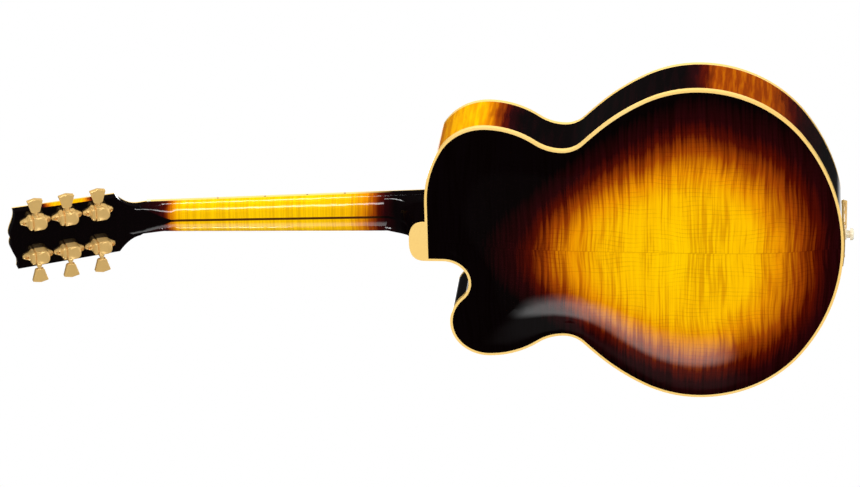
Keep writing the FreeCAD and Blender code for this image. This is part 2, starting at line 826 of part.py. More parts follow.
head_plan = head_outline(0)
face_thickness = dim.head_face_thickness
head_block = Part.Face(head_plan).extrude(UP * -dim.head_thickness)
head_block = head_block.cut(Part.Face(head_plan).extrude(UP * -face_thickness))
blend_growth_shares, blend_station_shares = (0.95, 1.25, 2.2, 14), (0, 0.3, 0.75, 5)
blend = Part.makeLoft([
    half_round(dim.nut_width * growth, dim.neck_depth_at_nut * growth, blend_roundness, 0,
               dim.head_ear_length * station, False)
    for growth, station in zip(blend_growth_shares, blend_station_shares)
], True, True)
head = moved(head_block.common(blend), head_frame)


def shaft_depth(distance):
    """Depth of the shaft under the board at a distance from the nut."""
    return dim.neck_depth_at_nut + (dim.neck_depth_at_joint - dim.neck_depth_at_nut) * distance / shaft_end


# Throat: the swelling where the round shaft runs out into the flat headstock

throat_sunk = dim.free_clearance
throat_width = dim.nut_width - 2 * throat_sunk
throat_middle_share, throat_rise_share = 0.37, 0.25
throat_root_share, throat_end_share, throat_face_share = 0.2, 0.78, 0.4
middle_roundness, root_roundness, end_roundness = 2.4, 4.0, 5.0
throat_middle = dim.throat_length * throat_middle_share
throat_top = shaft_top - throat_sunk
throat_face = -dim.head_thickness * throat_face_share
throat_rise = dim.throat_depth * throat_rise_share
throat_sections = [
    half_round(throat_width, shaft_depth(dim.throat_length) - 2 * throat_sunk, shaft_roundness,
               throat_top, -dim.throat_length, False),
    half_round(throat_width, shaft_depth(throat_middle) + throat_rise, middle_roundness,
               throat_top, -throat_middle, False),
]
throat_sections = [moved(section, neck_frame) for section in throat_sections]
for deeper, roundness, station_share in (
    (dim.throat_depth, root_roundness, throat_root_share),
    (-throat_sunk, end_roundness, throat_end_share),
):
    section = half_round(throat_width, dim.head_thickness + throat_face + deeper, roundness,
                         throat_face, dim.head_ear_length * station_share, False)
    throat_sections.append(moved(section, head_frame))
throat = Part.makeLoft(throat_sections, True, False)
under_board = box(
    Vector(-dim.nut_width, throat_top, -dim.throat_length - over), Vector(dim.nut_width, dim.board_thickness, 0)
)
throat = throat.cut(moved(under_board, neck_frame))

above_body = box(
    Vector(-dim.neck_reach, back, body_top), Vector(dim.neck_reach, dim.neck_reach, dim.neck_reach)
)
tongue = Part.makeBox(dim.tongue_width, dim.top_arch + dim.board_lift, dim.tongue_length + over)
tongue.Placement = neck_frame.multiply(Placement(
    Vector(-dim.tongue_width / 2, -dim.board_thickness - dim.top_arch - dim.board_lift,
           -dim.neck_reach / math.cos(pitch) - dim.tongue_length), Rotation()))
seat_lift = Placement(UP * dim.free_clearance, Rotation())
tongue = tongue.cut(moved(under_top, seat_lift))
tongue = tongue.cut(slab(0, front - dim.rim_depth, front + dim.free_clearance))
shaft = fused([shaft.common(above_body), throat])
shaft = fused([shaft, head])
neck = fused([shaft, heel.common(above_body), tongue,
              tenon.cut(box(Vector(-dim.tenon_width, back, body_top),
                            Vector(dim.tenon_width, front, body_top + 2 * over)))])

# Tuning machine places in the headstock frame

post_places = []
for number in range(6):
    side = -1 if number < 3 else 1
    step = number if number < 3 else 5 - number
    post_places.append(Vector(side * dim.post_offset, 0, dim.post_first + dim.post_pitch * step))
head_back = -dim.head_thickness
ear_screw_offsets = (
    dim.worm_gap + dim.casing_back + dim.band_length + dim.rear_ear_length / 2,
    -dim.casing_front - dim.front_ear_length / 2,
)


def head_holes():
    """Cutters of the post holes and the tuner screws in the headstock."""
    cutters = []
    for place in post_places:
        cutters.append(rod(place + UP * (head_back - over), place + UP * over, dim.bushing_radius))
        for offset in ear_screw_offsets:
            foot = place + Vector(0, head_back, offset)
            depth = dim.screw_length - dim.ear_tip_height
            cutters.append(rod(foot - UP * over, foot + UP * depth, dim.screw_shank_radius))
    return cutters


rod_height = -dim.board_thickness - dim.truss_rod_depth
rod_low = Vector(0, rod_height, -dim.truss_rod_tail)
rod_high = Vector(0, rod_height, dim.nut_length + dim.truss_rod_stand)
pocket_low = Vector(0, rod_height, dim.nut_length + dim.truss_nut_start - dim.free_clearance)
pocket_high = pocket_low + Vector(0, 0, dim.truss_pocket_length)
truss_cuts = [moved(rod(rod_low, rod_high, dim.truss_rod_radius), neck_frame)]
truss_cuts.append(moved(rod(pocket_low, pocket_high, dim.truss_pocket_radius), neck_frame))
cover_tip = dim.truss_cover_start + dim.truss_cover_length
cover_screw_inset = 2 * dim.screw_head_radius
cover_screw_places = [
    Vector(-dim.truss_cover_root_width / 2 + cover_screw_inset, 0, dim.truss_cover_start + cover_screw_inset),
    Vector(dim.truss_cover_root_width / 2 - cover_screw_inset, 0, dim.truss_cover_start + cover_screw_inset),
    Vector(0, 0, cover_tip - cover_screw_inset),
]
cover_screw_depth = dim.screw_length - dim.truss_cover_thickness
cover_cuts = [
    moved(rod(p - UP * cover_screw_depth, p + UP * over, dim.screw_shank_radius), head_frame)
    for p in cover_screw_places
]
head_cuts = [moved(cutter, head_frame) for cutter in head_holes()]
nut_seat = moved(box(
    Vector(-dim.nut_width, -dim.board_thickness, -over),
    Vector(dim.nut_width, dim.board_thickness, dim.nut_length),
), neck_frame)
neck = neck.cut(Part.makeCompound(head_cuts)).cut(Part.makeCompound(cover_cuts)).cut(nut_seat)
for cutter in truss_cuts:
    neck = neck.cut(cutter)

strip = dim.centre_strip_width / 2
reach = dim.neck_reach
side_slab = box(Vector(strip, -reach, -2 * reach), Vector(reach, reach, 2 * reach))
middle_slab = box(Vector(-strip, -reach, -2 * reach), Vector(strip, reach, 2 * reach))
keep("neck_bass_half", solids(neck.common(side_slab)))
keep("neck_treble_half", solids(neck.common(side_slab.mirror(Vector(), Vector(1, 0, 0)))))
keep("neck_centre_strip", solids(neck.common(middle_slab)))
cap_plan = half_round(dim.heel_width, dim.heel_length, heel_roundness, body_top, back, True)
keep("heel_cap", Part.Face(cap_plan).extrude(UP * dim.heel_cap_thickness))

# Headstock face with its binding

face_blank = Part.Face(head_outline(dim.head_binding_width)).extrude(UP * -face_thickness)
face_cuts = Part.makeCompound(head_cuts + cover_cuts + truss_cuts)
edge_blank = moved(Part.Face(head_plan).extrude(UP * -face_thickness), head_frame)
face_blank = moved(face_blank, head_frame)
keep("headstock_face", solids(face_blank.cut(face_cuts).cut(nut_seat)))
keep("headstock_binding", solids(edge_blank.cut(face_blank).cut(nut_seat)))

# Fingerboard, its binding, frets and markers

board_end = dim.scale_length * (1 - 2 ** (-FRET_COUNT / 12)) + dim.board_overhang


def fret_place(number):
    """Distance of a fret from the nut."""
    return dim.scale_length * (1 - 2 ** (-number / 12))


def crown(x):
    """Drop of the board's surface at a distance from its centre line."""
    return math.sqrt(dim.board_radius ** 2 - x * x) - dim.board_radius


def board_blank(inset):
    """Pointed tapered board under the crown of its surface."""
    wide_end, narrow_end = neck_width(board_end) / 2 - inset, dim.nut_width / 2 - inset
    points = [(-narrow_end, 0), (narrow_end, 0), (wide_end, -board_end),
              (0, -board_end - dim.board_point + inset), (-wide_end, -board_end)]
    face = polygon([Vector(x, -dim.board_thickness, z) for x, z in points])
    blank = face.extrude(UP * (dim.board_thickness + over))
    length = board_end + dim.board_point + over
    return blank.common(Part.makeCylinder(
        dim.board_radius, length + over, Vector(0, -dim.board_radius, -length), Vector(0, 0, 1)))


def marker_block(number):
    """Block marker between two frets, let into the board."""
    low, high = fret_place(number), fret_place(number - 1)
    centre, gap = (low + high) / 2, low - high
    length_share, width_share = 0.58, 0.56
    half = neck_width(centre) / 2 * width_share
    long = gap * length_share / 2
    return box(Vector(-half, -dim.marker_depth, -centre - long), Vector(half, over, -centre + long))


board_wood = board_blank(dim.board_binding_width)
marker_blocks = [marker_block(number) for number in MARKER_FRETS]
markers = [solids(board_wood.common(block)) for block in marker_blocks]
keep("fingerboard", solids(board_wood.cut(Part.makeCompound(marker_blocks))), neck_frame)
keep("position_markers", Part.makeCompound(markers), neck_frame)

dot_places = [(fret_place(n) + fret_place(n - 1)) / 2 for n in DOT_FRETS]
double_place = (fret_place(DOUBLE_DOT_FRET) + fret_place(DOUBLE_DOT_FRET - 1)) / 2
dot_places += [double_place - dim.side_dot_spread / 2, double_place + dim.side_dot_spread / 2]
taper = math.atan((dim.joint_width - dim.nut_width) / 2 / dim.neck_reach)
side_dots = []
for place in dot_places:
    out = Vector(math.cos(taper), 0, math.sin(taper))
    seat = Vector(neck_width(place) / 2, -dim.board_thickness / 2 - dim.side_dot_radius / 2, -place)
    inner, outer = seat - out * dim.side_dot_depth, seat + out * dim.side_dot_stand
    side_dots.append(rod(inner, outer, dim.side_dot_radius))
edge_strip = board_blank(0).cut(board_blank(dim.board_binding_width))
edge_strip = edge_strip.cut(Part.makeCompound(side_dots))
keep("fingerboard_binding", solids(edge_strip), neck_frame)
keep("side_dots", Part.makeCompound(side_dots), neck_frame)


def fret_bar(number):
    """Domed bar along the board's crowned surface."""
    place, half = fret_place(number), neck_width(fret_place(number)) / 2 - dim.board_binding_width
    shoulder_share = 0.3
    wide, shoulder = dim.fret_width / 2, dim.fret_height * shoulder_share
    corners = [Vector(0, shoulder, -wide), Vector(0, 0, -wide), Vector(0, 0, wide), Vector(0, shoulder, wide)]
    edges = [Part.LineSegment(low, high).toShape() for low, high in zip(corners, corners[1:])]
    edges.append(Part.Arc(corners[-1], UP * dim.fret_height, corners[0]).toShape())
    face = Part.Face(Part.Wire(edges))
    centre, along = Vector(0, -dim.board_radius, 0), Vector(0, 0, 1)
    sweep = math.degrees(math.asin(half / dim.board_radius))
    face.rotate(centre, along, -sweep)
    bar = face.revolve(centre, along, 2 * sweep)
    bar.translate(Vector(0, 0, -place))
    return bar


keep("frets", Part.makeCompound([fret_bar(number) for number in range(1, FRET_COUNT + 1)]), neck_frame)

# Truss rod, its nut and the cover

truss_rod = doc.addObject("Part::Cylinder", "truss_rod")
bind(truss_rod, Radius="truss_rod_radius", Height="truss_rod_tail + nut_length + truss_rod_stand")
truss_rod.Placement = neck_frame.multiply(Placement(rod_low, Rotation()))
truss_rod.Label = "truss_rod"
subparts.append(truss_rod)
truss_nut = turned("truss_rod_nut", [
    ("truss_rod_radius + running_clearance", ""), ("truss_nut_radius", ""),
    ("truss_nut_radius", "truss_nut_length"), ("truss_rod_radius + running_clearance", "truss_nut_length"),
])
truss_nut.Placement = neck_frame.multiply(
    Placement(Vector(0, rod_height, dim.nut_length + dim.truss_nut_start), Rotation()))
truss_nut.Label = "truss_rod_nut"
subparts.append(truss_nut)
root_half, tip_half = dim.truss_cover_root_width / 2, dim.truss_cover_tip_width / 2
waist_share = 0.55
cover_waist = tip_half + (root_half - tip_half) * waist_share / 2
cover_face = polygon([
    Vector(-root_half, 0, dim.truss_cover_start), Vector(root_half, 0, dim.truss_cover_start),
    Vector(root_half, 0, dim.truss_cover_start + 2 * cover_screw_inset),
    Vector(cover_waist, 0, dim.truss_cover_start + dim.truss_cover_length * waist_share),
    Vector(tip_half, 0, cover_tip), Vector(-tip_half, 0, cover_tip),
    Vector(-cover_waist, 0, dim.truss_cover_start + dim.truss_cover_length * waist_share),
    Vector(-root_half, 0, dim.truss_cover_start + 2 * cover_screw_inset),
])
cover = moved(cover_face.extrude(UP * dim.truss_cover_thickness), head_frame)
keep("truss_rod_cover", solids(cover.cut(Part.makeCompound(cover_cuts))))


# Screws, turned once and copied to their places

wood_screw = turned("wood_screw", [
    ("", ""), ("screw_shank_radius", ""), ("screw_shank_radius", "screw_length"),
    ("screw_head_radius", "screw_length"), ("screw_head_radius", "screw_length + screw_head_height"),
    ("", "screw_length + screw_head_height"),
])
face_up = Rotation(Vector(1, 0, 0), -90)
face_down = Rotation(Vector(1, 0, 0), 90)
tail_out = Rotation(Vector(1, 0, 0), 180)


def screws_at(seats, turn, frame):
    """Screws whose heads sit on given points."""
    inward = turn.multVec(Vector(0, 0, -dim.screw_length))
    return Part.makeCompound([
        moved(wood_screw.Shape, frame.multiply(Placement(seat + inward, turn))) for seat in seats])


keep("truss_cover_screws", screws_at(
    [p + UP * dim.truss_cover_thickness for p in cover_screw_places], face_up, head_frame))
keep("tailpiece_screws", screws_at(bracket_screws, tail_out, Placement()))
ear_seats = [
    place + Vector(0, head_back - dim.ear_tip_height, offset)
    for place in post_places for offset in ear_screw_offsets
]
keep("tuner_screws", screws_at(ear_seats, face_down, head_frame))

# Tuning machines

bushing = turned("bushing", [
    ("post_radius + running_clearance", "- bushing_depth"), ("bushing_radius", "- bushing_depth"),
    ("bushing_radius", ""), ("bushing_flange_radius", ""), ("bushing_flange_radius", "bushing_flange_height"),
    ("post_radius + running_clearance", "bushing_flange_height"),
])
keep("tuner_bushings", Part.makeCompound([
    moved(bushing.Shape, head_frame.multiply(Placement(place, face_up))) for place in post_places]))

post_turning = turned("post_turning", [
    ("", "- worm_height - gear_thickness"), ("spindle_radius", "- worm_height - gear_thickness"),
    ("spindle_radius", "- worm_height + gear_thickness"), ("post_radius", "- worm_height + gear_thickness"),
    ("post_radius", "head_thickness + post_stand"), ("", "head_thickness + post_stand"),
])
gear_turning = turned("gear_turning", [
    ("spindle_radius", "- worm_height - gear_thickness"), ("gear_radius", "- worm_height - gear_thickness"),
    ("gear_radius", "- worm_height + gear_thickness"), ("spindle_radius", "- worm_height + gear_thickness"),
])
gear_half_share = 0.5
gear_band = Part.makeBox(2 * dim.gear_radius, 2 * dim.gear_radius, dim.gear_thickness,
                         Vector(-dim.gear_radius, -dim.gear_radius,
                                -dim.worm_height - dim.gear_thickness * gear_half_share))
gear = solids(gear_turning.Shape.common(gear_band))
string_hole = rod(
    Vector(-dim.gear_radius, 0, dim.head_thickness + dim.post_hole_height),
    Vector(dim.gear_radius, 0, dim.head_thickness + dim.post_hole_height), dim.post_hole_radius)
post = solids(post_turning.Shape.cut(string_hole))
for number, place in enumerate(post_places, 1):
    seat = head_frame.multiply(Placement(place + UP * head_back, face_up))
    keep(f"tuner_post_{number}", moved(Part.makeCompound([post, gear]), seat))


def tapered(start, end, sizes):
    """Straight-sided wedge between two upright rectangles on the headstock's back."""
    sections = []
    for station, (width, height) in zip((start, end), sizes):
        points = [Vector(x, head_back - y, station)
                  for x, y in ((-width / 2, 0), (width / 2, 0), (width / 2, height), (-width / 2, height))]
        sections.append(Part.makePolygon(points + [points[0]]))
    return Part.makeLoft(sections, True, True)


def rounded_along(shape, level):
    """Block with its long back edges rounded."""
    return shape.makeFillet(dim.casing_round, [
        edge for edge in shape.Edges
        if edge.BoundBox.YMax < level and edge.BoundBox.ZLength > dim.band_length / 2])


def tuner_housing(side):
    """Sealed housing with screw ears, a band and a shaft collar."""
    half, tall = dim.casing_width / 2, dim.casing_height
    low, high = -dim.casing_front, dim.worm_gap + dim.casing_back
    casing = box(Vector(-half, head_back - tall, low), Vector(half, head_back, high))
    casing = casing.makeFillet(dim.casing_round, [
        edge for edge in casing.Edges
        if edge.BoundBox.YMax < head_back - tall / 2 or edge.BoundBox.YLength > tall / 2])
    band_high = high + dim.band_length
    band_half = dim.band_width / 2
    band = box(Vector(-band_half, head_back - dim.band_height, high + dim.band_groove),
               Vector(band_half, head_back, band_high))
    groove_share = 0.86
    core_half, core_tall = band_half * groove_share, dim.band_height * groove_share
    core = box(Vector(-core_half, head_back - core_tall, high - dim.casing_round),
               Vector(core_half, head_back, band_high))
    band, core = (rounded_along(shape, head_back - dim.band_height / 2) for shape in (band, core))
    root, tip = (dim.ear_root_width, dim.ear_root_height), (dim.ear_tip_width, dim.ear_tip_height)
    rear = tapered(band_high - dim.band_groove, band_high + dim.rear_ear_length, (root, tip))
    fore = tapered(low - dim.front_ear_length, low + dim.band_groove, (tip, root))
    worm = Vector(0, head_back - dim.worm_height, dim.worm_gap)
    collar = rod(worm, worm + Vector(side * (half + dim.collar_length), 0, 0), dim.collar_radius)
    shape = fused([casing, core, band, rear, fore, collar])
    for offset in ear_screw_offsets:
        foot = Vector(0, head_back, offset)
        head_room = dim.screw_head_radius + dim.slot_clearance
        shape = shape.cut(rod(foot - UP * dim.ear_tip_height, foot - UP * dim.casing_height, head_room))
        shape = shape.cut(rod(foot + UP * over, foot - UP * dim.casing_height, dim.screw_shank_radius))
    gear_room = dim.gear_thickness / 2 + dim.free_clearance
    gear_space = rod(Vector(0, head_back - dim.worm_height - dim.gear_thickness - dim.free_clearance, 0),
                     Vector(0, head_back - dim.worm_height + gear_room, 0),
                     dim.gear_radius + dim.free_clearance)
    worm_half = dim.worm_length / 2 + dim.free_clearance
    worm_space = rod(worm - Vector(worm_half, 0, 0), worm + Vector(worm_half, 0, 0),
                     dim.worm_radius + dim.free_clearance)
    shaft_space = rod(worm, worm + Vector(side * (half + dim.collar_length + over), 0, 0),
                      dim.shaft_radius + dim.running_clearance)
    post_space = rod(Vector(0, head_back - dim.worm_height, 0), Vector(0, head_back + over, 0),
                     dim.post_radius + dim.running_clearance)
    return solids(shape.cut(gear_space.multiFuse([worm_space, shaft_space, post_space])))


def tuner_button(side):
    """Flared flat button on a worm shaft."""
    worm = Vector(0, head_back - dim.worm_height, dim.worm_gap)
    out = Vector(side, 0, 0)
    along = Vector(0, 0, 1)
    half, neck_half = dim.button_width / 2, dim.button_neck_width / 2
    flare_share, shoulder_share, shoulder_width_share = 0.88, 0.2, 0.63
    round_share, round_width_share = 0.07, 0.545
    start = worm + out * dim.button_start
    length = dim.button_length

    def spot(x, z):
        return start + out * x + along * z

    tip = spot(length, 0)
    edges = [Part.LineSegment(spot(0, -neck_half), spot(0, neck_half)).toShape()]
    for way in SIDES:
        shoulder = spot(length * shoulder_share, way * half * shoulder_width_share)
        rounding = spot(length * round_share, way * half * round_width_share)
        corner = spot(length * flare_share, way * half)
        edges.append(Part.Arc(spot(0, way * neck_half), rounding, shoulder).toShape())
        edges.append(Part.LineSegment(shoulder, corner).toShape())
        edges.append(Part.LineSegment(corner, tip).toShape())
    face = Part.Face(Part.Wire(Part.sortEdges(edges)[0]))
    face.Placement.Base = UP * (dim.button_thickness / 2)
    button = face.extrude(UP * -dim.button_thickness)
    button = button.makeFillet(dim.button_round, button.Edges)
    stem_start = dim.casing_width / 2 + dim.collar_length + dim.free_clearance
    stem = rod(worm + out * stem_start, start + out * dim.button_neck_width, dim.stem_radius)
    worm_half = dim.worm_length / 2
    shaft_tip = start + out * dim.button_neck_width
    thread = rod(worm - out * worm_half, worm + out * worm_half, dim.worm_radius)
    shaft = fused([thread, rod(worm, shaft_tip, dim.shaft_radius)])
    knob = fused([button, stem]).cut(rod(worm, shaft_tip, dim.shaft_radius))
    return Part.makeCompound([shaft, solids(knob)])


housing_shapes = {side: tuner_housing(side) for side in SIDES}
button_shapes = {side: tuner_button(side) for side in SIDES}
housings = []
for number, place in enumerate(post_places, 1):
    side = 1 if place.x > 0 else -1
    seat = head_frame.multiply(Placement(place, Rotation()))
    housings.append(moved(housing_shapes[side], seat))
    keep(f"tuner_button_{number}", moved(button_shapes[side], seat))
keep("tuner_housings", Part.makeCompound(housings))

# Strings run from the tailpiece over the saddle and the nut to their posts

string_diameters = [
    dim.first_string_diameter, dim.second_string_diameter, dim.third_string_diameter,
    dim.fourth_string_diameter, dim.fifth_string_diameter, dim.sixth_string_diameter,
]
bar_height = front + dim.tailpiece_bar_lift
bar_place = body_top - dim.tailpiece_bar_drop


def span_place(number, span):
    """Sideways place of a string in a span of six."""
    return span * (number / 5 - 0.5)


def head_spot(point):
    """A point of the neck frame in the headstock frame."""
    return head_frame.inverse().multVec(neck_frame.multVec(point))


def string_route(number):
    """Route of one string and the start of its winding in the headstock frame."""
    radius = string_diameters[number] / 2
    nut_x = span_place(number, dim.nut_string_span)
    bridge_x = span_place(number, dim.bridge_string_span)
    nut_point = Vector(nut_x, crown(nut_x) + dim.nut_string_height + radius, dim.nut_length / 2)
    saddle_point = Vector(bridge_x, crown(bridge_x) + dim.saddle_string_height + radius, -dim.scale_length)
    tail_point = Vector(span_place(number, dim.tailpiece_string_span), bar_height, bar_place)
    entry = head_spot(nut_point)
    centre = post_places[number]
    loop = dim.post_radius + dim.winding_lift + radius
    side = 1 if centre.x > 0 else -1
    flat = Vector(centre.x - entry.x, 0, centre.z - entry.z)
    aim = math.atan2(flat.z, flat.x) + side * math.asin(loop / flat.Length)
    run = math.sqrt(flat.Length ** 2 - loop ** 2)
    touch = Vector(entry.x + run * math.cos(aim), dim.winding_start, entry.z + run * math.sin(aim))
    below = touch - UP * (2 * radius + dim.winding_space)
    points = [tail_point, neck_frame.multVec(saddle_point), neck_frame.multVec(nut_point),
              head_frame.multVec(below)]
    return points, touch, loop, side


def string_path(number):
    """Path of one string with its bends over the saddle and the nut."""
    points = string_route(number)[0]
    return rounded_path(points, [dim.saddle_crown_radius, dim.nut_crown_radius])


def winding_path(number):
    """Turns of one string round its post, with straight ends."""
    radius = string_diameters[number] / 2
    _, touch, loop, side = string_route(number)
    centre = post_places[number]
    climb = 2 * radius + dim.winding_space
    first = math.atan2(touch.z - centre.z, touch.x - centre.x)
    stations = []
    for quarter in range(4 * WINDING_TURNS + 1):
        turn = first - side * math.pi / 2 * quarter
        level = touch.y + climb * quarter / 4
        spot = Vector(centre.x + loop * math.cos(turn), level, centre.z + loop * math.sin(turn))
        ahead = Vector(side * math.sin(turn), climb / (2 * math.pi * loop), -side * math.cos(turn))
        stations.append((spot, ahead.normalize()))
    start, start_way = stations[0]
    edges = [Part.LineSegment(start - start_way * (2 * radius), start).toShape()]
    for (spot, ahead), (next_spot, next_ahead) in zip(stations, stations[1:]):
        edges += [arc_edge(points) for points in biarc(spot, ahead, next_spot, next_ahead, even_bend_share)]
    end, end_way = stations[-1]
    edges.append(Part.LineSegment(end, end + end_way * (2 * radius)).toShape())
    return Part.Wire(edges)


def least_gap(path, diameter):
    """Least space between two turns of a tube, measured on points."""
    points = []
    for edge in path.OrderedEdges:
        points += edge.discretize(Number=7)[:-1]
    walked = [0.0]
    for start, end in zip(points, points[1:]):
        walked.append(walked[-1] + (end - start).Length)
    apart = 6 * diameter
    gaps = [(points[j] - points[i]).Length - diameter
            for i in range(len(points)) for j in range(i + 1, len(points))
            if walked[j] - walked[i] > apart]
    return min(gaps)


strings, slots = [], []
for number, diameter in enumerate(string_diameters):
    path = string_path(number)
    ball_start = string_route(number)[0][0]
    first_way = path.OrderedEdges[0].tangentAt(path.OrderedEdges[0].FirstParameter)
    string = tube(path, diameter / 2)
    behind_bar = dim.tailpiece_bar_width / 2
    ball = rod(ball_start - first_way * (behind_bar + dim.ball_end_length),
               ball_start - first_way * (behind_bar + dim.slot_clearance + dim.free_clearance),
               dim.ball_end_radius)
    tail_run = rod(ball_start - first_way * (behind_bar + dim.ball_end_length / 2),
                   ball_start + first_way * dim.tailpiece_bar_width, diameter / 2)
    strings.append(fused([string, tail_run, ball]))
    slots.append(tube(path, diameter / 2 + dim.slot_clearance))
    slots.append(rod(ball_start - first_way * dim.tailpiece_bar_width,
                     ball_start + first_way * dim.tailpiece_bar_width, diameter / 2 + dim.slot_clearance))
    print("string", number + 1, "length", round(path.Length, 1))
keep("strings", Part.makeCompound(strings))
for number, diameter in enumerate(string_diameters):
    path = winding_path(number)
    coil = tube(path, diameter / 2)
    expected = math.pi * diameter ** 2 / 4 * path.Length
    print("winding", number + 1, "least gap", round(least_gap(path, diameter), 3),
          "volume ratio", round(coil.Volume / expected, 4))
    keep(f"string_winding_{number + 1}", coil, head_frame)
string_slots = Part.makeCompound(slots)

# Nut with string slots

nut_body = padded("nut_blank", [
    ("", ""), ("nut_width", ""), ("nut_width", "board_thickness + nut_string_height"),
    ("", "board_thickness + nut_string_height"),
], "nut_length")
nut_blank = nut_body.Shape.copy()
nut_blank.Placement = neck_frame.multiply(
    Placement(Vector(-dim.nut_width / 2, -dim.board_thickness, 0), face_up))
keep("nut", solids(nut_blank.cut(string_slots)))

# Bridge: base fitted to the arch, posts, thumbwheels and saddle

bridge_place = -dim.scale_length * math.cos(pitch) - dim.saddle_string_height * math.sin(pitch)
bridge_line = Part.LineSegment(
    Vector(0, front, bridge_place), Vector(0, front + 2 * dim.top_arch, bridge_place)).toShape()
crown_height = under_top.common(bridge_line).BoundBox.YMax
base_top = crown_height + dim.bridge_base_height
base_half, flat_half = dim.bridge_base_length / 2, dim.bridge_base_flat / 2
base_width = dim.bridge_base_width / 2
post_half = dim.bridge_post_spacing / 2
end_top = base_top - dim.bridge_base_height + dim.bridge_base_end_height
base_face = polygon([
    Vector(x, y, bridge_place - base_width) for x, y in (
        (-base_half, front), (base_half, front), (base_half, end_top), (flat_half, base_top),
        (-flat_half, base_top), (-base_half, end_top))])
base = base_face.extrude(Vector(0, 0, dim.bridge_base_width)).cut(under_top)
saddle_line = neck_frame.multVec(Vector(0, dim.saddle_string_height, -dim.scale_length))
wheel_low = base_top + dim.bridge_travel_room
saddle_low = wheel_low + dim.thumbwheel_height
post_low = base_top - dim.bridge_post_seat
post_high = saddle_low + dim.saddle_post_bore_depth - dim.bridge_travel_room - dim.free_clearance
post_axes = [Vector(side * post_half, 0, bridge_place) for side in SIDES]
base = base.cut(Part.makeCompound([
    rod(p + UP * post_low, p + UP * (base_top + over), dim.bridge_post_radius) for p in post_axes]))
keep("bridge_base", solids(base))
keep("bridge_posts", Part.makeCompound([
    rod(p + UP * post_low, p + UP * post_high, dim.bridge_post_radius) for p in post_axes]))
wheel_bore = "bridge_post_radius + running_clearance"
wheel = turned("thumbwheel", [
    (wheel_bore, ""), ("thumbwheel_radius", ""),
    ("thumbwheel_radius", "thumbwheel_height"), (wheel_bore, "thumbwheel_height"),
])
grooves = []
for number in range(GRIP_GROOVES):
    turn = 2 * math.pi * number / GRIP_GROOVES
    spot = Vector(math.cos(turn), math.sin(turn), 0) * dim.thumbwheel_radius
    grooves.append(rod(spot - Vector(0, 0, over), spot + Vector(0, 0, dim.thumbwheel_height + over),
                       dim.thumbwheel_groove_radius))
knurled = solids(wheel.Shape.cut(Part.makeCompound(grooves)))
for label, axis in zip(("thumbwheel_bass", "thumbwheel_treble"), post_axes):
    keep(label, moved(knurled, Placement(axis + UP * wheel_low, face_up)))
saddle_half, crest = dim.saddle_length / 2, saddle_line.y
crest_width_share = 1.15
edge_x = dim.bridge_string_span / 2
crest_x = edge_x * crest_width_share
crest_edge = crest + crown(edge_x)
saddle_end = saddle_low + dim.saddle_end_height
saddle_wire = Part.Wire([
    Part.makeLine(Vector(-saddle_half, saddle_low, 0), Vector(saddle_half, saddle_low, 0)),
    Part.makeLine(Vector(saddle_half, saddle_low, 0), Vector(saddle_half, saddle_end, 0)),
    Part.makeLine(Vector(saddle_half, saddle_end, 0), Vector(crest_x, crest_edge, 0)),
    Part.Arc(Vector(crest_x, crest_edge, 0), Vector(0, crest + dim.slot_clearance, 0),
             Vector(-crest_x, crest_edge, 0)).toShape(),
    Part.makeLine(Vector(-crest_x, crest_edge, 0), Vector(-saddle_half, saddle_end, 0)),
    Part.makeLine(Vector(-saddle_half, saddle_end, 0), Vector(-saddle_half, saddle_low, 0)),
])
saddle = Part.Face(saddle_wire).extrude(Vector(0, 0, dim.saddle_width))
saddle.Placement.Base = Vector(0, 0, bridge_place - dim.saddle_width / 2)
saddle = saddle.cut(Part.makeCompound([
    rod(p + UP * (saddle_low - over), p + UP * (saddle_low + dim.saddle_post_bore_depth),
        dim.bridge_post_radius + dim.free_clearance) for p in post_axes]))


def saddle_notch(number):
    """Open room over one string where it crosses the saddle."""
    tail_point, saddle_point, nut_point = string_route(number)[0][:3]
    half = string_diameters[number] / 2 + 2 * dim.slot_clearance
    rear, fore = (saddle_point + (far - saddle_point) * (dim.saddle_width / abs(far.z - saddle_point.z))
                  for far in (tail_point, nut_point))
    top = saddle_point.y + over
    line = [(point.y, point.z) for point in (rear, saddle_point, fore)]
    side = polygon([Vector(saddle_point.x - half, y, z) for y, z in line + [(top, fore.z), (top, rear.z)]])
    return side.extrude(Vector(2 * half, 0, 0))


notches = [saddle_notch(number) for number in range(len(string_diameters))]
keep("bridge_saddle", solids(saddle.cut(string_slots).cut(Part.makeCompound(notches))))

# Tailpiece frame, hinge pin and bracket

bar_half = dim.tailpiece_bar_length / 2
bar = box(
    Vector(-bar_half, bar_height - dim.tailpiece_bar_height / 2, bar_place - dim.tailpiece_bar_width / 2),
    Vector(bar_half, bar_height + dim.tailpiece_bar_height / 2, bar_place + dim.tailpiece_bar_width / 2),
)
bar = bar.makeFillet(dim.tailpiece_leg_radius, [
    edge for edge in bar.Edges if edge.BoundBox.XLength > bar_half])
hinge = Vector(0, front + dim.hinge_lift, tail - dim.bracket_thickness / 2)
eye_start = dim.hinge_barrel_length / 2 + dim.free_clearance
eye_end = eye_start + dim.hinge_eye_length
legs = []
for side in SIDES:
    out = Vector(side, 0, 0)
    eye = rod(hinge + out * eye_start, hinge + out * eye_end, dim.hinge_barrel_radius)
    leg = rod(hinge + out * (eye_start + eye_end) / 2,
              Vector(side * dim.tailpiece_leg_spread, bar_height, bar_place), dim.tailpiece_leg_radius)
    legs += [eye, leg]
frame = fused([bar] + legs)
pin_half = eye_end
pin = rod(hinge - Vector(pin_half, 0, 0), hinge + Vector(pin_half, 0, 0), dim.hinge_pin_radius)
pin_reach = Vector(2 * pin_half, 0, 0)
frame = frame.cut(rod(hinge - pin_reach, hinge + pin_reach, dim.hinge_pin_radius))
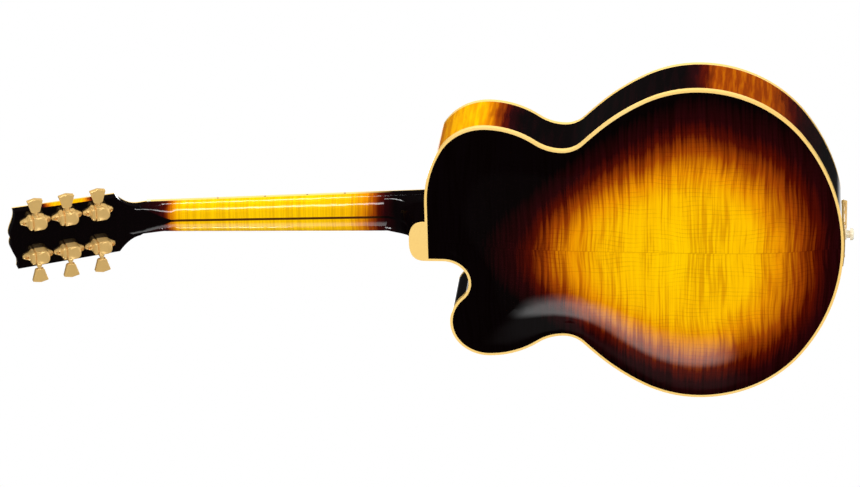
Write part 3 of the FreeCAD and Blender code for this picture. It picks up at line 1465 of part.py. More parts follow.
keep("tailpiece", Part.makeCompound([solids(frame.cut(string_slots)), pin]))
bracket_half = dim.bracket_width / 2
sheet_ring = slab(-dim.bracket_thickness, back + dim.bracket_margin, front + dim.hinge_lift)
sheet_ring = sheet_ring.cut(slab(0, back, front + dim.hinge_lift + over))
bracket_top, bracket_inner = front + dim.hinge_lift + over, tail + dim.end_block_length
bracket = sheet_ring.common(box(Vector(-bracket_half, back, tail - over),
                                Vector(bracket_half, bracket_top, bracket_inner)))
barrel_half = Vector(dim.hinge_barrel_length / 2, 0, 0)
notch = box(Vector(-bracket_half - over, front - dim.plate_thickness, tail - over),
            Vector(-barrel_half.x, bracket_top, bracket_inner))
bracket = bracket.cut(notch).cut(notch.mirror(Vector(), Vector(1, 0, 0)))
barrel = rod(hinge - barrel_half, hinge + barrel_half, dim.hinge_barrel_radius)
bracket = fused([bracket, barrel]).cut(Part.makeCompound([pin, strap_hole] + screw_cuts))
bracket = bracket.cut(Part.makeCompound(screw_seats))
keep("tailpiece_bracket", solids(bracket))

# Strap button

strap_seat_terms = "strap_shank_length"
strap_foot_terms = strap_seat_terms + " + strap_foot_length"
strap_neck_terms = strap_foot_terms + " + strap_neck_length"
strap_head_terms = strap_neck_terms + " + strap_head_length"
strap_dome_terms = strap_head_terms + " + strap_dome_length"
strap = turned("strap_button", [
    ("", ""), ("strap_shank_radius", ""), ("strap_shank_radius", strap_seat_terms),
    ("strap_foot_radius", strap_seat_terms), ("strap_foot_radius", strap_foot_terms),
    ("strap_neck_radius", strap_foot_terms), ("strap_neck_radius", strap_neck_terms),
    ("strap_head_radius", strap_neck_terms), ("strap_head_radius", strap_head_terms),
    ("strap_dome_radius", strap_dome_terms), ("", strap_dome_terms),
])
strap.Placement = Placement(strap_seat + Vector(0, 0, dim.strap_shank_length), tail_out)
strap.Label = "strap_button"
subparts.append(strap)

# Pickguard and its rod to the rim

guard_inner = -neck_width(dim.guard_start + dim.guard_length) / 2
guard_across_shares = (0, 0, 0.28, 1, 0.9, 0.55)
guard_along_shares = (0, 1, 1, 0.66, 0.42, 0)
guard_face = polygon([
    Vector(guard_inner - dim.free_clearance - dim.guard_width * a, -dim.guard_drop,
           -dim.guard_start - dim.guard_length * b)
    for a, b in zip(guard_across_shares, guard_along_shares)])
guard = guard_face.extrude(UP * -dim.guard_thickness)
guard = guard.makeFillet(dim.guard_corner_radius, [
    edge for edge in guard.Edges
    if edge.BoundBox.YLength > dim.guard_thickness / 2 and edge.BoundBox.XMax < guard_inner - over])
keep("pickguard", guard, neck_frame)
rod_radius = dim.guard_rod_radius
guard_under = -dim.guard_drop - dim.guard_thickness - rod_radius - dim.slot_clearance
hold_share = 0.6
waist_x, waist_z = -dim.waist_width / 2, body_top - dim.waist_drop
hold_z = (waist_z - guard_under * math.sin(pitch)) / math.cos(pitch)
hold = neck_frame.multVec(Vector(guard_inner - dim.guard_width * hold_share, guard_under, hold_z))
stand_x = waist_x - dim.guard_rod_stand
route = [hold, Vector(stand_x, hold.y, waist_z), Vector(stand_x, front - dim.guard_rod_reach, waist_z)]
rod_shape = tube(rounded_path(route, [dim.guard_rod_bend_radius]), rod_radius)
foot_place = Vector(stand_x - rod_radius - dim.free_clearance, front - dim.guard_rod_reach, waist_z)
foot_end = Vector(waist_x - dim.free_clearance, foot_place.y, waist_z)
foot = rod(foot_place, foot_end, dim.guard_rod_foot_radius)
keep("pickguard_bracket", fused([rod_shape, foot]))

# Checks and export

doc.recompute()
faults = []
for piece in doc.Objects:
    if "Invalid" in piece.State or "Error" in piece.State:
        faults.append(piece.Label + " state")
for piece in subparts:
    if piece.Shape.isNull() or not piece.Shape.isValid() or not piece.Shape.Solids:
        faults.append(piece.Label + " shape")
os.makedirs("parts", exist_ok=True)
for piece in subparts:
    piece.Shape.exportStep(f"parts/{piece.Label}.step")
print("pieces", len(subparts), "faults", faults)
if faults:
    raise ValueError("faulty pieces: " + ", ".join(faults))
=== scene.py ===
"""Looks of the archtop guitar: lacquer, wood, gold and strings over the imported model, and its studio."""

import json
import math
from collections import namedtuple

import bpy
from bpy.props import FloatProperty, FloatVectorProperty, IntProperty, PointerProperty
from bpy.types import Operator, Panel, PropertyGroup
from mathutils import Matrix, Quaternion, Vector


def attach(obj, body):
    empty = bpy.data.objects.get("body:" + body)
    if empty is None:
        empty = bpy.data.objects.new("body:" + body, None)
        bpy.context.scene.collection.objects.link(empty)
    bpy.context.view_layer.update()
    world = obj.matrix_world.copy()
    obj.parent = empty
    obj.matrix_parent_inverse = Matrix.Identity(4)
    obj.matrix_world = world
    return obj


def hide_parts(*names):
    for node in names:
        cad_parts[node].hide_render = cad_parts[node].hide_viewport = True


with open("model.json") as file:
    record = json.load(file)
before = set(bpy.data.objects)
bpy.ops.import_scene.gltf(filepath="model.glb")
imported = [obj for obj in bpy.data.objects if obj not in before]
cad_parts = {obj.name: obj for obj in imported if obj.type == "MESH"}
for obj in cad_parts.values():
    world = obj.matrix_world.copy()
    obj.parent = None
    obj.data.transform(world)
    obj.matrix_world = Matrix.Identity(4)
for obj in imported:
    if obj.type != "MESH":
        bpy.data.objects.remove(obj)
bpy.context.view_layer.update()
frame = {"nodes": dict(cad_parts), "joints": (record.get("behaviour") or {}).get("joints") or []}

bl_info = {
    "name": "Archtop guitar",
    "version": (1, 0, 0),
    "blender": (4, 5, 0),
    "location": "View3D > Sidebar > Archtop",
    "description": "Dresses the packed archtop guitar and sets its studio",
    "category": "Object",
}

MM = 0.001

# Strings from the treble side: diameter in millimetres, and angle in degrees at which each meets its post
STRINGS = ((0.33, 3.35), (0.43, 5.72), (0.66, 6.75), (0.89, 173.3), (1.17, 174.48), (1.42, 177.13))
NUMBERS = range(1, len(STRINGS) + 1)

# Headstock, from the posts of the frame
JOINTS = {joint["name"]: joint for joint in frame["joints"]}
POSTS = {number: Vector(JOINTS[f"post_turn_{number}"]["pos_m"]) for number in NUMBERS}
HEAD_UP = Vector(JOINTS["post_turn_1"]["axis"])
HEAD_ALONG = Vector((0.0, -HEAD_UP.z, HEAD_UP.y))
POST_FIRST = 61.5 * MM
HEAD_ROOT = (POSTS[1] + POSTS[len(STRINGS)]) / 2 - HEAD_ALONG * POST_FIRST
HEAD_THICKNESS = 14.2 * MM

# Windings on the posts
POST_RADIUS = 3.06 * MM
WINDING_START = 4.6 * MM
WIRE_SIDES = 12
TURN_STEPS = 40

# Tuner housing in millimetres, with X towards its button, Y towards the head's tip and Z off the head
CASING_LOW, CASING_HIGH = (-9.25, -6.8, 0), (9.25, 10.9, 13.6)
CASING_CORNER, CASING_ROUND = 7.0, 2.0
DOME_RADIUS, DOME_PLACE, DOME_FLATNESS = 8.2, (0, 1.9, 13.2), 0.19
Band = namedtuple("Band", "start end half tall round_over")
BANDS = (Band(10.4, 17.4, 7.6, 11.4, 0.8), Band(11.5, 16.6, 9.1, 13.3, 2.0))
BAND_CORNER = 4.2
Taper = namedtuple("Taper", "start end radii")
EAR_ROOT = Taper(16.4, 18.8, (8.4, 5.6))
REAR_EAR, REAR_SCREW = Taper(17.2, 27.0, (6.2, 2.2)), 22.0
FORE_EAR, FORE_SCREW = Taper(-13.0, -5.4, (2.2, 6.4)), -9.6
EAR_HEIGHT, EAR_ROUND = 1.6, 1.5
POCKET_RADIUS, POCKET_DEPTH = 2.35, 12
COLLAR, COLLAR_PLACE = Taper(-1.6, 1.6, (3.9, 3.5)), (10.6, 7.4, 9.0)
ROUND_SIDES, DOME_SIDES, DOME_RINGS = 40, 56, 28
SMOOTH_ANGLE = math.radians(40)
# Places nearer than this count as the same
NEAR = 0.1 * MM
MERGE = 0.001 * MM

# Camera and lamps
CAMERA_PLACE = Vector((2.2341, -4.6038, -0.8372))
CAMERA_RIGHT = Vector((-0.02571, 0.09034, -0.99558))
CAMERA_UP = Vector((0.89744, 0.44081, 0.01683))
VIEW_WAY = Vector((-0.44039, 0.89304, 0.09241))
LENS, SENSOR = 167.29, 36.0
LAMP_REACH = 3.0
LAMP_HEIGHT = -0.40
NECK_LAMP_HEIGHT = 0.7
FLOOR_RADIUS, FLOOR_HEIGHT, FLOOR_SIDES = 0.9, -1.35, 96


def tint(red, green, blue):
    """A screen colour from 0 to 255 as linear red, green and blue."""
    def linear(level):
        level /= 255
        return level / 12.92 if level <= 0.04045 else ((level + 0.055) / 1.055) ** 2.4
    return (linear(red), linear(green), linear(blue))


def solid(colour):
    """A colour with full opacity."""
    return (*colour[:3], 1.0)


# Shader maths

class Socket:
    """An output of a shader node, for sums that add Math nodes."""

    def __init__(self, tree, maker, output):
        self.tree, self.maker, self.output = tree, maker, output

    def other(self, output):
        """Another output of the same node."""
        return Socket(self.tree, self.maker, self.maker.outputs[output])

    def __add__(self, value):
        return self.tree.math("ADD", self, value)

    def __sub__(self, value):
        return self.tree.math("SUBTRACT", self, value)

    def __rsub__(self, value):
        return self.tree.math("SUBTRACT", value, self)

    def __mul__(self, value):
        return self.tree.math("MULTIPLY", self, value)

    def __truediv__(self, value):
        return self.tree.math("DIVIDE", self, value)

    def __pow__(self, value):
        return self.tree.math("POWER", self, value)

    def __abs__(self):
        return self.tree.math("ABSOLUTE", self)

    __radd__ = __add__
    __rmul__ = __mul__


class Tree:
    """A node tree in the making."""

    def __init__(self, tree):
        self.tree = tree
        tree.nodes.clear()

    def node(self, kind, settings=None, values=None, output=0):
        """A node with its settings, then the values or links of its sockets."""
        maker = self.tree.nodes.new(kind)
        for name, value in (settings or {}).items():
            if name == "stops":
                self.stops(maker.color_ramp.elements, value)
            else:
                setattr(maker, name, value)
        for name, value in (values or {}).items():
            if isinstance(value, Socket):
                self.tree.links.new(value.output, maker.inputs[name])
            else:
                maker.inputs[name].default_value = value
        return Socket(self, maker, maker.outputs[output]) if len(maker.outputs) else None

    def stops(self, elements, stops):
        """The stops of a colour ramp, which starts with two."""
        for index, (place, colour) in enumerate(stops):
            element = elements[index] if index < 2 else elements.new(place)
            element.position, element.color = place, solid(colour)

    def math(self, operation, *values):
        """A Math node on these values."""
        return self.node("ShaderNodeMath", {"operation": operation}, dict(enumerate(values)))

    def most(self, value, other):
        """The larger of two values."""
        return self.math("MAXIMUM", value, other)

    def least(self, value, other):
        """The smaller of two values."""
        return self.math("MINIMUM", value, other)

    def place(self):
        """The three Object coordinates."""
        point = self.node("ShaderNodeTexCoord", output="Object")
        split = self.node("ShaderNodeSeparateXYZ", None, {0: point})
        return split, split.other(1), split.other(2)

    def noise(self, x, y, z, detail=2.0, roughness=0.5):
        """Noise about 0.5 at a place whose units are lumps."""
        return self.lumps(self.node("ShaderNodeCombineXYZ", None, {0: x, 1: y, 2: z}), detail, roughness)

    def grain(self, across, deep, along, detail=2.0, roughness=0.5):
        """Noise about 0.5 with so many lumps to the metre along X, Y and Z."""
        place = self.node("ShaderNodeTexCoord", output="Object")
        point = self.node("ShaderNodeVectorMath", {"operation": "MULTIPLY"}, {
            0: place, 1: (across, deep, along)})
        return self.lumps(point, detail, roughness)

    def lumps(self, point, detail, roughness):
        """Noise at a point."""
        return self.node("ShaderNodeTexNoise", None, {
            "Vector": point, "Scale": 1.0, "Detail": detail, "Roughness": roughness})

    def smooth(self, value, low, high):
        """A soft step from 0 at low to 1 at high."""
        return self.node("ShaderNodeMapRange", {"interpolation_type": "SMOOTHSTEP"}, {
            0: value, 1: low, 2: high, 3: 0.0, 4: 1.0})

    def ease(self, value, low, high):
        """An even rise from 0 at low to 1 at high."""
        return self.node("ShaderNodeMapRange", None, {0: value, 1: low, 2: high, 3: 0.0, 4: 1.0})

    def ramp(self, value, stops):
        """A colour from a value."""
        return self.node("ShaderNodeValToRGB", {"stops": stops}, {0: value})

    def mix(self, share, first, second, way="MIX"):
        """Two colours mixed."""
        ends = [value if isinstance(value, Socket) else solid(value) for value in (first, second)]
        return self.node("ShaderNodeMix", {"data_type": "RGBA", "blend_type": way}, {
            0: share, 6: ends[0], 7: ends[1]}, output=2)

    def bump(self, height, strength, distance):
        """A normal from a height."""
        return self.node("ShaderNodeBump", None, {
            "Strength": strength, "Distance": distance, "Height": height})


def finish(name, build):
    """A material whose shader sockets come from a function of its node tree."""
    material = bpy.data.materials.new(name)
    material.use_nodes = True
    tree = Tree(material.node_tree)
    shader = tree.node("ShaderNodeBsdfPrincipled", None, build(tree))
    tree.node("ShaderNodeOutputMaterial", None, {0: shader})
    return material


def dress(material, *names):
    """CAD nodes take a material."""
    for name in names:
        for holder in frame["nodes"][name].material_slots:
            holder.material = material


# Settings

class BurstColours(PropertyGroup):
    """Colours of the shaded lacquer from the middle to the edge."""

    yellow: FloatVectorProperty(name="Yellow", description="Middle of the burst", subtype="COLOR",
                                default=tint(255, 203, 0), min=0, max=1)
    amber: FloatVectorProperty(name="Amber", description="Round the middle", subtype="COLOR",
                               default=tint(252, 190, 0), min=0, max=1)
    orange: FloatVectorProperty(name="Orange", description="Where the shading starts", subtype="COLOR",
                                default=tint(232, 146, 1), min=0, max=1)
    brown: FloatVectorProperty(name="Brown", description="Half way through the shading", subtype="COLOR",
                               default=tint(158, 68, 2), min=0, max=1)
    red: FloatVectorProperty(name="Red", description="Near the end of the shading", subtype="COLOR",
                             default=tint(80, 14, 2), min=0, max=1)
    maroon: FloatVectorProperty(name="Maroon", description="Rim of the shading", subtype="COLOR",
                                default=tint(38, 5, 8), min=0, max=1)
    black: FloatVectorProperty(name="Black", description="Edge of the body", subtype="COLOR",
                               default=tint(7, 3, 4), min=0, max=1)


class WoodFigure(PropertyGroup):
    """Figure of the wood under the lacquer."""

    flame_width: FloatProperty(name="Flame width", description="Usual width of one flame on the back",
                               default=0.0085, min=0.002, max=0.05, unit="LENGTH")
    neck_flame_width: FloatProperty(name="Neck flame width",
                                    description="Usual width of one flame on the neck",
                                    default=0.0036, min=0.001, max=0.05, unit="LENGTH")
    line_spacing: FloatProperty(name="Line spacing", description="Space between two growth lines of the back",
                                default=0.0058, min=0.001, max=0.05, unit="LENGTH")
    spruce_spacing: FloatProperty(name="Spruce spacing",
                                  description="Space between two growth lines of the top",
                                  default=0.0014, min=0.0003, max=0.01, unit="LENGTH")


class HardwareLooks(PropertyGroup):
    """Metal of the fittings and the windings."""

    gold: FloatVectorProperty(name="Gold", description="Plating of the fittings", subtype="COLOR",
                              default=tint(255, 210, 130), min=0, max=1)
    winding_turns: IntProperty(name="Winding turns", description="Turns of each string on its post",
                               default=3, min=1, max=6)
    winding_space: FloatProperty(name="Winding space", description="Room between two turns on a post",
                                 default=0.0005, min=0.0, max=0.003, unit="LENGTH")


class StudioLight(PropertyGroup):
    """Lamps round the guitar."""

    panel: FloatProperty(name="Panel", description="Dim panel that the arch mirrors",
                         default=15.3, min=0, unit="POWER")
    treble_strip: FloatProperty(name="Treble strip", description="Narrow lamp on the neck's treble side",
                                default=16.7, min=0, unit="POWER")
    bass_strip: FloatProperty(name="Bass strip", description="Tall lamp at the back on the bass side",
                              default=42.0, min=0, unit="POWER")
    edge: FloatProperty(name="Edge lamp", description="Broad lamp beside the bass side",
                        default=46.0, min=0, unit="POWER")
    edge_strip: FloatProperty(name="Edge strip", description="Narrow lamp that the neck's edge mirrors",
                              default=26.0, min=0, unit="POWER")
    front: FloatProperty(name="Front lamp", description="Soft lamp before the top",
                         default=46.0, min=0, unit="POWER")
    ambient: FloatProperty(name="Ambient", description="Even light of the room", default=0.58, min=0, max=2)


# Lacquer and its burst

LACQUER = {"Coat Weight": 1.0, "Coat Roughness": 0.03, "Coat IOR": 1.5, "Specular IOR Level": 0.0}
LACQUERED_WOOD = {**LACQUER, "Roughness": 0.34}
# Place of each colour on a spread that is 1 at the rim of the shading
BURST_STOPS = {"yellow": 0.0, "amber": 0.48, "orange": 0.66, "brown": 0.80, "red": 0.92, "maroon": 1.02,
               "black": 1.2}
BURST_END = 1.3
BLACK_SPREAD = BURST_STOPS["black"]
# Egg-shaped bursts in metres: middle, half width, reach both ways, and what half width loses towards the neck
Egg = namedtuple("Egg", "side middle half to_tail to_neck narrowing")
BACK_EGG = Egg(side=-0.008, middle=-0.690, half=0.180, to_tail=0.181, to_neck=0.212, narrowing=0.40)
TOP_EGG = Egg(side=0.0, middle=-0.672, half=0.172, to_tail=0.175, to_neck=0.225, narrowing=0.40)
EGG_POWER, EGG_LEAST, EGG_SOFT = 2.2, 0.01, 0.06


def shaded(tree, colours, spread):
    """Burst colours along a spread."""
    stops = [(place / BURST_END, getattr(colours, name)) for name, place in BURST_STOPS.items()]
    return tree.ramp(spread / BURST_END, stops)


def egg(tree, x, z, burst):
    """Spread of an egg-shaped burst with its broad end at the tail."""
    beside, along = x - burst.side, z - burst.middle
    wide = burst.half - burst.narrowing * tree.most(along, 0.0)
    across = beside / tree.most(wide, EGG_LEAST)
    length = tree.least(along, 0.0) / burst.to_tail + tree.most(along, 0.0) / burst.to_neck
    soft = tree.noise(beside * 14.0, 0.0, z * 14.0, detail=3.0) - 0.5
    return (abs(across) ** EGG_POWER + abs(length) ** EGG_POWER) ** (1 / EGG_POWER) + soft * EGG_SOFT


# Figured wood

# Noise from the dark to the light of a figure, fine flames for each broad one, and the fine ones' share
FIGURE_RANGE, TOP_RANGE = (0.36, 0.64), (0.34, 0.66)
FINE_FLAMES, FINE_SHARE = 3.1, 0.53
# How far a figure pulls the shading in and out
BACK_PULL, RIM_PULL, NECK_PULL, TOP_PULL = 0.06, 0.05, 0.1, 0.08
# Dark and light of each figure
BACK_TONES = ((0.0, (0.76, 0.62, 0.4)), (0.4, (0.95, 0.91, 0.7)), (1.0, (1.05, 1.05, 1.0)))
RIM_TONES = ((0.0, (0.86, 0.78, 0.65)), (1.0, (1.04, 1.04, 1.0)))
NECK_TONES = ((0.0, (0.84, 0.75, 0.6)), (1.0, (1.05, 1.05, 1.1)))
TOP_TONES = ((0.0, (0.74, 0.62, 0.48)), (1.0, (1.06, 1.08, 1.15)))
# Growth lines of the back: how far they wander, and shares of their spacing and of the noise that breaks them
LINE_WANDER = 0.06
LINE_EDGE = (0.03, 0.14)
LINE_BREAKS = (0.38, 0.62)
LINE_TONE = (0.45, 0.22, 0.20)
LINE_SHARE, SEAM_SHARE = 0.30, 0.4
# Joint of the back's two halves, whose flames meet a little out of step
SEAM_HALVES = (-0.0004, 0.0004)
SEAM_EDGE = (0.0002, 0.0007)
SEAM_STEP = 0.003
# Depth at which the back's gloss fades near its edge
BACK_DULL = (-0.0790, -0.0762)
BACK_DULL_SHARE = 0.95
# Windows of open wood on the rim: on the bass shoulder and on both lower bouts
SHOULDER_START, SHOULDER_SIDE = (-0.488, -0.432), (-0.01, 0.175)
BOUT_START, BOUT_END, BOUT_SHARE = (-0.866, -0.800), (-0.728, -0.684), 0.56
WINDOW_LIGHT, RIM_SOFT = 0.72, 0.014
# Growth lines of the top: how far they wander, and the share of the silk across them
RING_WANDER, SILK_SHARE = 0.004, 0.15


def flames(tree, across, along, width, seed):
    """Figure of flamed maple, dark 0 to light 1, whose flames run across."""
    sway = tree.noise(across * 9.0, seed, along * 7.0, detail=1.0)
    broad = tree.noise(across * 6.0 + sway * 0.8, seed, along / width + sway * 3.0, roughness=0.6)
    fine = tree.noise(across * 14.0, seed + 4.0, along * FINE_FLAMES / width + sway * 5.0, detail=1.0)
    return tree.smooth(broad * (1.0 - FINE_SHARE) + fine * FINE_SHARE, *FIGURE_RANGE)


def figured(tree, colour, figure, tones):
    """A colour under the dark and light of a figure."""
    return tree.mix(1.0, colour, tree.ramp(figure, tones), "MULTIPLY")


def growth_lines(tree, across, along, spacing):
    """Broken lines that wander along the grain, 1 on a line."""
    wander = tree.noise(across * 5.0, 7.0, along * 6.0) * LINE_WANDER
    step = tree.math("FRACT", (across + wander) / spacing)
    broken = tree.noise(across * 60.0, 3.0, along * 22.0, detail=1.0)
    return (1.0 - tree.smooth(abs(step - 0.5), *LINE_EDGE)) * tree.smooth(broken, *LINE_BREAKS)


def maple_back(context):
    """Bookmatched flamed maple under a shaded lacquer."""
    colours, wood = context.scene.archtop_burst, context.scene.archtop_wood

    def build(tree):
        x, y, z = tree.place()
        beside = abs(x)
        step = tree.smooth(x, *SEAM_HALVES) * SEAM_STEP
        figure = flames(tree, beside, z + step, wood.flame_width, seed=2.0)
        spread = egg(tree, x, z, BACK_EGG) - (figure - 0.5) * BACK_PULL
        colour = figured(tree, shaded(tree, colours, spread), figure, BACK_TONES)
        line = growth_lines(tree, beside, z, wood.line_spacing)
        seam = 1.0 - tree.smooth(beside, *SEAM_EDGE)
        dark = tree.most(line * LINE_SHARE, seam * SEAM_SHARE)
        gloss = 1.0 - tree.smooth(y, *BACK_DULL) * BACK_DULL_SHARE
        return {**LACQUERED_WOOD, "Base Color": tree.mix(dark, colour, LINE_TONE, "MULTIPLY"),
                "Coat Weight": gloss}
    return finish("maple_back", build)


def maple_rim(context):
    """Flamed maple of the rim, shaded but for its windows."""
    colours = context.scene.archtop_burst

    def build(tree):
        x, _, z = tree.place()
        where = z + (tree.grain(20.0, 20.0, 20.0) - 0.5) * RIM_SOFT
        shoulder = tree.ease(where, *SHOULDER_START) * tree.ease(x, *SHOULDER_SIDE)
        bout = tree.ease(where, *BOUT_START) * (1.0 - tree.ease(where, *BOUT_END))
        window = tree.most(shoulder, bout * BOUT_SHARE)
        grain = tree.grain(150.0, 12.0, 150.0, roughness=0.6)
        figure = tree.smooth(grain, *FIGURE_RANGE)
        spread = BLACK_SPREAD - window * WINDOW_LIGHT - (figure - 0.5) * RIM_PULL
        return {**LACQUERED_WOOD,
                "Base Color": figured(tree, shaded(tree, colours, spread), figure, RIM_TONES)}
    return finish("maple_rim", build)


def spruce_top(context):
    """Straight-grained spruce under a shaded lacquer."""
    colours, wood = context.scene.archtop_burst, context.scene.archtop_wood

    def build(tree):
        x, _, z = tree.place()
        wander = tree.noise(x * 9.0, 1.0, z * 5.0, detail=1.0) * RING_WANDER
        rings = tree.noise((abs(x) + wander) / wood.spruce_spacing, 5.0, z * 1.5, roughness=0.6)
        silk = tree.noise(x * 40.0, 8.0, z * 150.0, detail=1.0)
        figure = tree.smooth(rings * (1.0 - SILK_SHARE) + silk * SILK_SHARE, *TOP_RANGE)
        spread = egg(tree, x, z, TOP_EGG) - (rings - 0.5) * TOP_PULL
        return {**LACQUERED_WOOD,
                "Base Color": figured(tree, shaded(tree, colours, spread), figure, TOP_TONES)}
    return finish("spruce_top", build)


# Neck

# Shading along the neck in metres: the root of the head in two rises, and the heel
ROOT_SHADE, THROAT_SHADE, ROOT_SHARE = (-0.064, -0.018), (-0.018, 0.014), 0.82
HEEL_SHADE, NECK_SOFT = (-0.318, -0.222), 0.02
# Spread over which the dark strip turns black, and the part of the figure that the neck shows
STRIP_SHADE, NECK_FIGURE_START = (0.5, 1.1), 0.3
# Black point that runs from the head into the neck
POINT_TIP, POINT_LENGTH, POINT_HALF, POINT_CURVE = -0.0335, 0.0366, 0.0162, 1.15
POINT_EDGE, POINT_START = (-0.0010, 0.0008), (-0.0345, -0.031)
# Black head with a window of open wood on its sides, along the head and by height over its face
HEAD_SHADE, THROAT_END = (0.016, 0.026), (0.040, 0.055)
WINDOW_EDGE, WINDOW_START, WINDOW_END = (-0.0139, -0.0128), (0.062, 0.092), (0.118, 0.150)
WINDOW_SHARE = 0.62
# Curve of the heel that is duller than the rest, by place along the neck and depth
HEEL_DULL, HEEL_DULL_DEPTH, HEEL_DULL_SHARE = (-0.326, -0.314), (-0.012, -0.003), 0.9
NECK_COAT_ROUGHNESS = 0.08
# Binding of the board: its slope, its shading at the heel and the scraped edge that stays cream
BOARD_SLOPE = -0.0840
BINDING_SHADE, BINDING_SCRAPED = (-0.312, -0.262), (-0.0026, -0.0018)
# Pale layer of the rod's cover, by height over the headstock's face
LAYER_START, LAYER_END = (0.0006, 0.0007), (0.0012, 0.0013)


def head_place(y, z):
    """Height over the headstock's face and distance along it."""
    rise, run = y - HEAD_ROOT.y, z - HEAD_ROOT.z
    return rise * HEAD_UP.y + run * HEAD_UP.z, rise * HEAD_ALONG.y + run * HEAD_ALONG.z


def neck_spread(tree, x, y, z):
    """Shading of the neck: bare in the middle, dark at both ends and on the headstock's back."""
    where = z + (tree.grain(25.0, 25.0, 25.0) - 0.5) * NECK_SOFT
    root = tree.ease(where, *ROOT_SHADE) * ROOT_SHARE + tree.ease(z, *THROAT_SHADE) * (1.0 - ROOT_SHARE)
    heel = 1.0 - tree.ease(where, *HEEL_SHADE)
    along_point = tree.most((z - POINT_TIP) / POINT_LENGTH, 0.0)
    inside = POINT_HALF * along_point ** POINT_CURVE - abs(x)
    point = tree.smooth(inside, *POINT_EDGE) * tree.smooth(z, *POINT_START)
    height, along = head_place(y, z)
    window = tree.smooth(along, *WINDOW_START) * (1.0 - tree.smooth(along, *WINDOW_END))
    window = window * tree.smooth(height, *WINDOW_EDGE)
    head = tree.smooth(along, *HEAD_SHADE) * (1.0 - window * WINDOW_SHARE)
    throat = tree.most(root, point) * (1.0 - tree.smooth(along, *THROAT_END))
    return tree.most(tree.most(throat, heel), head) * BLACK_SPREAD


def maple_neck(context):
    """Flamed maple of the neck with its shaded ends."""
    colours, wood = context.scene.archtop_burst, context.scene.archtop_wood

    def build(tree):
        x, y, z = tree.place()
        figure = flames(tree, abs(x) + NECK_FIGURE_START, z, wood.neck_flame_width, seed=9.0)
        spread = neck_spread(tree, x, y, z)
        spread = spread - (figure - 0.5) * NECK_PULL * (BLACK_SPREAD - spread)
        dull = (1.0 - tree.smooth(z, *HEEL_DULL)) * (1.0 - tree.smooth(y, *HEEL_DULL_DEPTH))
        return {**LACQUERED_WOOD,
                "Base Color": figured(tree, shaded(tree, colours, spread), figure, NECK_TONES),
                "Coat Roughness": NECK_COAT_ROUGHNESS, "Coat Weight": 1.0 - dull * HEEL_DULL_SHARE}
    return finish("maple_neck", build)


def dark_strip(context):
    """Dark wood between the neck's halves."""
    colours = context.scene.archtop_burst

    def build(tree):
        x, y, z = tree.place()
        grain = tree.grain(900.0, 300.0, 12.0)
        wood = tree.mix(grain, tint(58, 30, 10), tint(92, 50, 16))
        black = tree.smooth(neck_spread(tree, x, y, z), *STRIP_SHADE)
        return {**LACQUER, "Base Color": tree.mix(black, wood, colours.black), "Roughness": 0.36}
    return finish("dark_strip", build)


def board_binding(context):
    """Cream binding of the board, shaded over at the heel but for its scraped front edge."""
    colours = context.scene.archtop_burst

    def build(tree):
        _, y, z = tree.place()
        age = tree.grain(9.0, 30.0, 9.0, detail=3.0)
        cream = tree.mix(age, tint(246, 200, 100), tint(255, 224, 150))
        depth = y - z * BOARD_SLOPE
        shade = (1.0 - tree.ease(z, *BINDING_SHADE)) * (1.0 - tree.smooth(depth, *BINDING_SCRAPED))
        return {**LACQUER, "Base Color": tree.mix(shade, cream, colours.black),
                "Roughness": 0.3 + age * 0.08}
    return finish("board_binding", build)


def black_lacquer():
    """Black gloss of the headstock's face."""
    def build(tree):
        haze = tree.grain(130.0, 130.0, 130.0, detail=3.0)
        return {**LACQUER, "Base Color": tree.mix(haze, tint(6, 5, 6), tint(12, 10, 11)),
                "Roughness": 0.3 + haze * 0.1}
    return finish("black_lacquer", build)


def layered_black():
    """Black plastic with a pale layer under its face."""
    def build(tree):
        _, y, z = tree.place()
        height, _ = head_place(y, z)
        pale = tree.smooth(height, *LAYER_START) * (1.0 - tree.smooth(height, *LAYER_END))
        scuff = tree.grain(300.0, 300.0, 300.0, detail=3.0)
        return {"Base Color": tree.mix(pale, tint(12, 11, 12), tint(224, 216, 198)),
                "Roughness": 0.18 + scuff * 0.1, "Coat Weight": 0.4}
    return finish("layered_black", build)


# Plain woods, plastics, bone and pearl

def pale_wood():
    """Bare wood inside the body."""
    def build(tree):
        grain = tree.grain(700.0, 60.0, 14.0, detail=3.0)
        return {"Base Color": tree.mix(grain, tint(196, 150, 100), tint(226, 190, 140)),
                "Roughness": 0.55 + grain * 0.2,
                "Normal": tree.bump(grain, strength=0.2, distance=0.0004)}
    return finish("pale_wood", build)


def ebony():
    """Dark oiled wood with fine pores."""
    def build(tree):
        grain = tree.grain(420.0, 420.0, 16.0, detail=3.0)
        pore = tree.smooth(tree.grain(1800.0, 1800.0, 70.0, detail=1.0), 0.60, 0.72)
        colour = tree.mix(tree.smooth(grain, 0.35, 0.75), tint(17, 13, 12), tint(46, 33, 27))
        return {"Base Color": tree.mix(pore * 0.6, colour, tint(7, 6, 6)), "Roughness": 0.3 + pore * 0.25,
                "Normal": tree.bump(1.0 - pore, strength=0.25, distance=0.0002)}
    return finish("ebony", build)


def cream_binding():
    """Aged cream plastic under lacquer."""
    def build(tree):
        age = tree.grain(9.0, 30.0, 9.0, detail=3.0)
        fleck = tree.grain(260.0, 260.0, 260.0, detail=1.0)
        colour = tree.mix(age, tint(246, 196, 96), tint(255, 222, 146))
        colour = tree.mix(tree.smooth(fleck, 0.55, 0.8) * 0.25, colour, tint(236, 186, 100))
        return {**LACQUER, "Base Color": colour, "Roughness": 0.3 + fleck * 0.08}
    return finish("cream_binding", build)


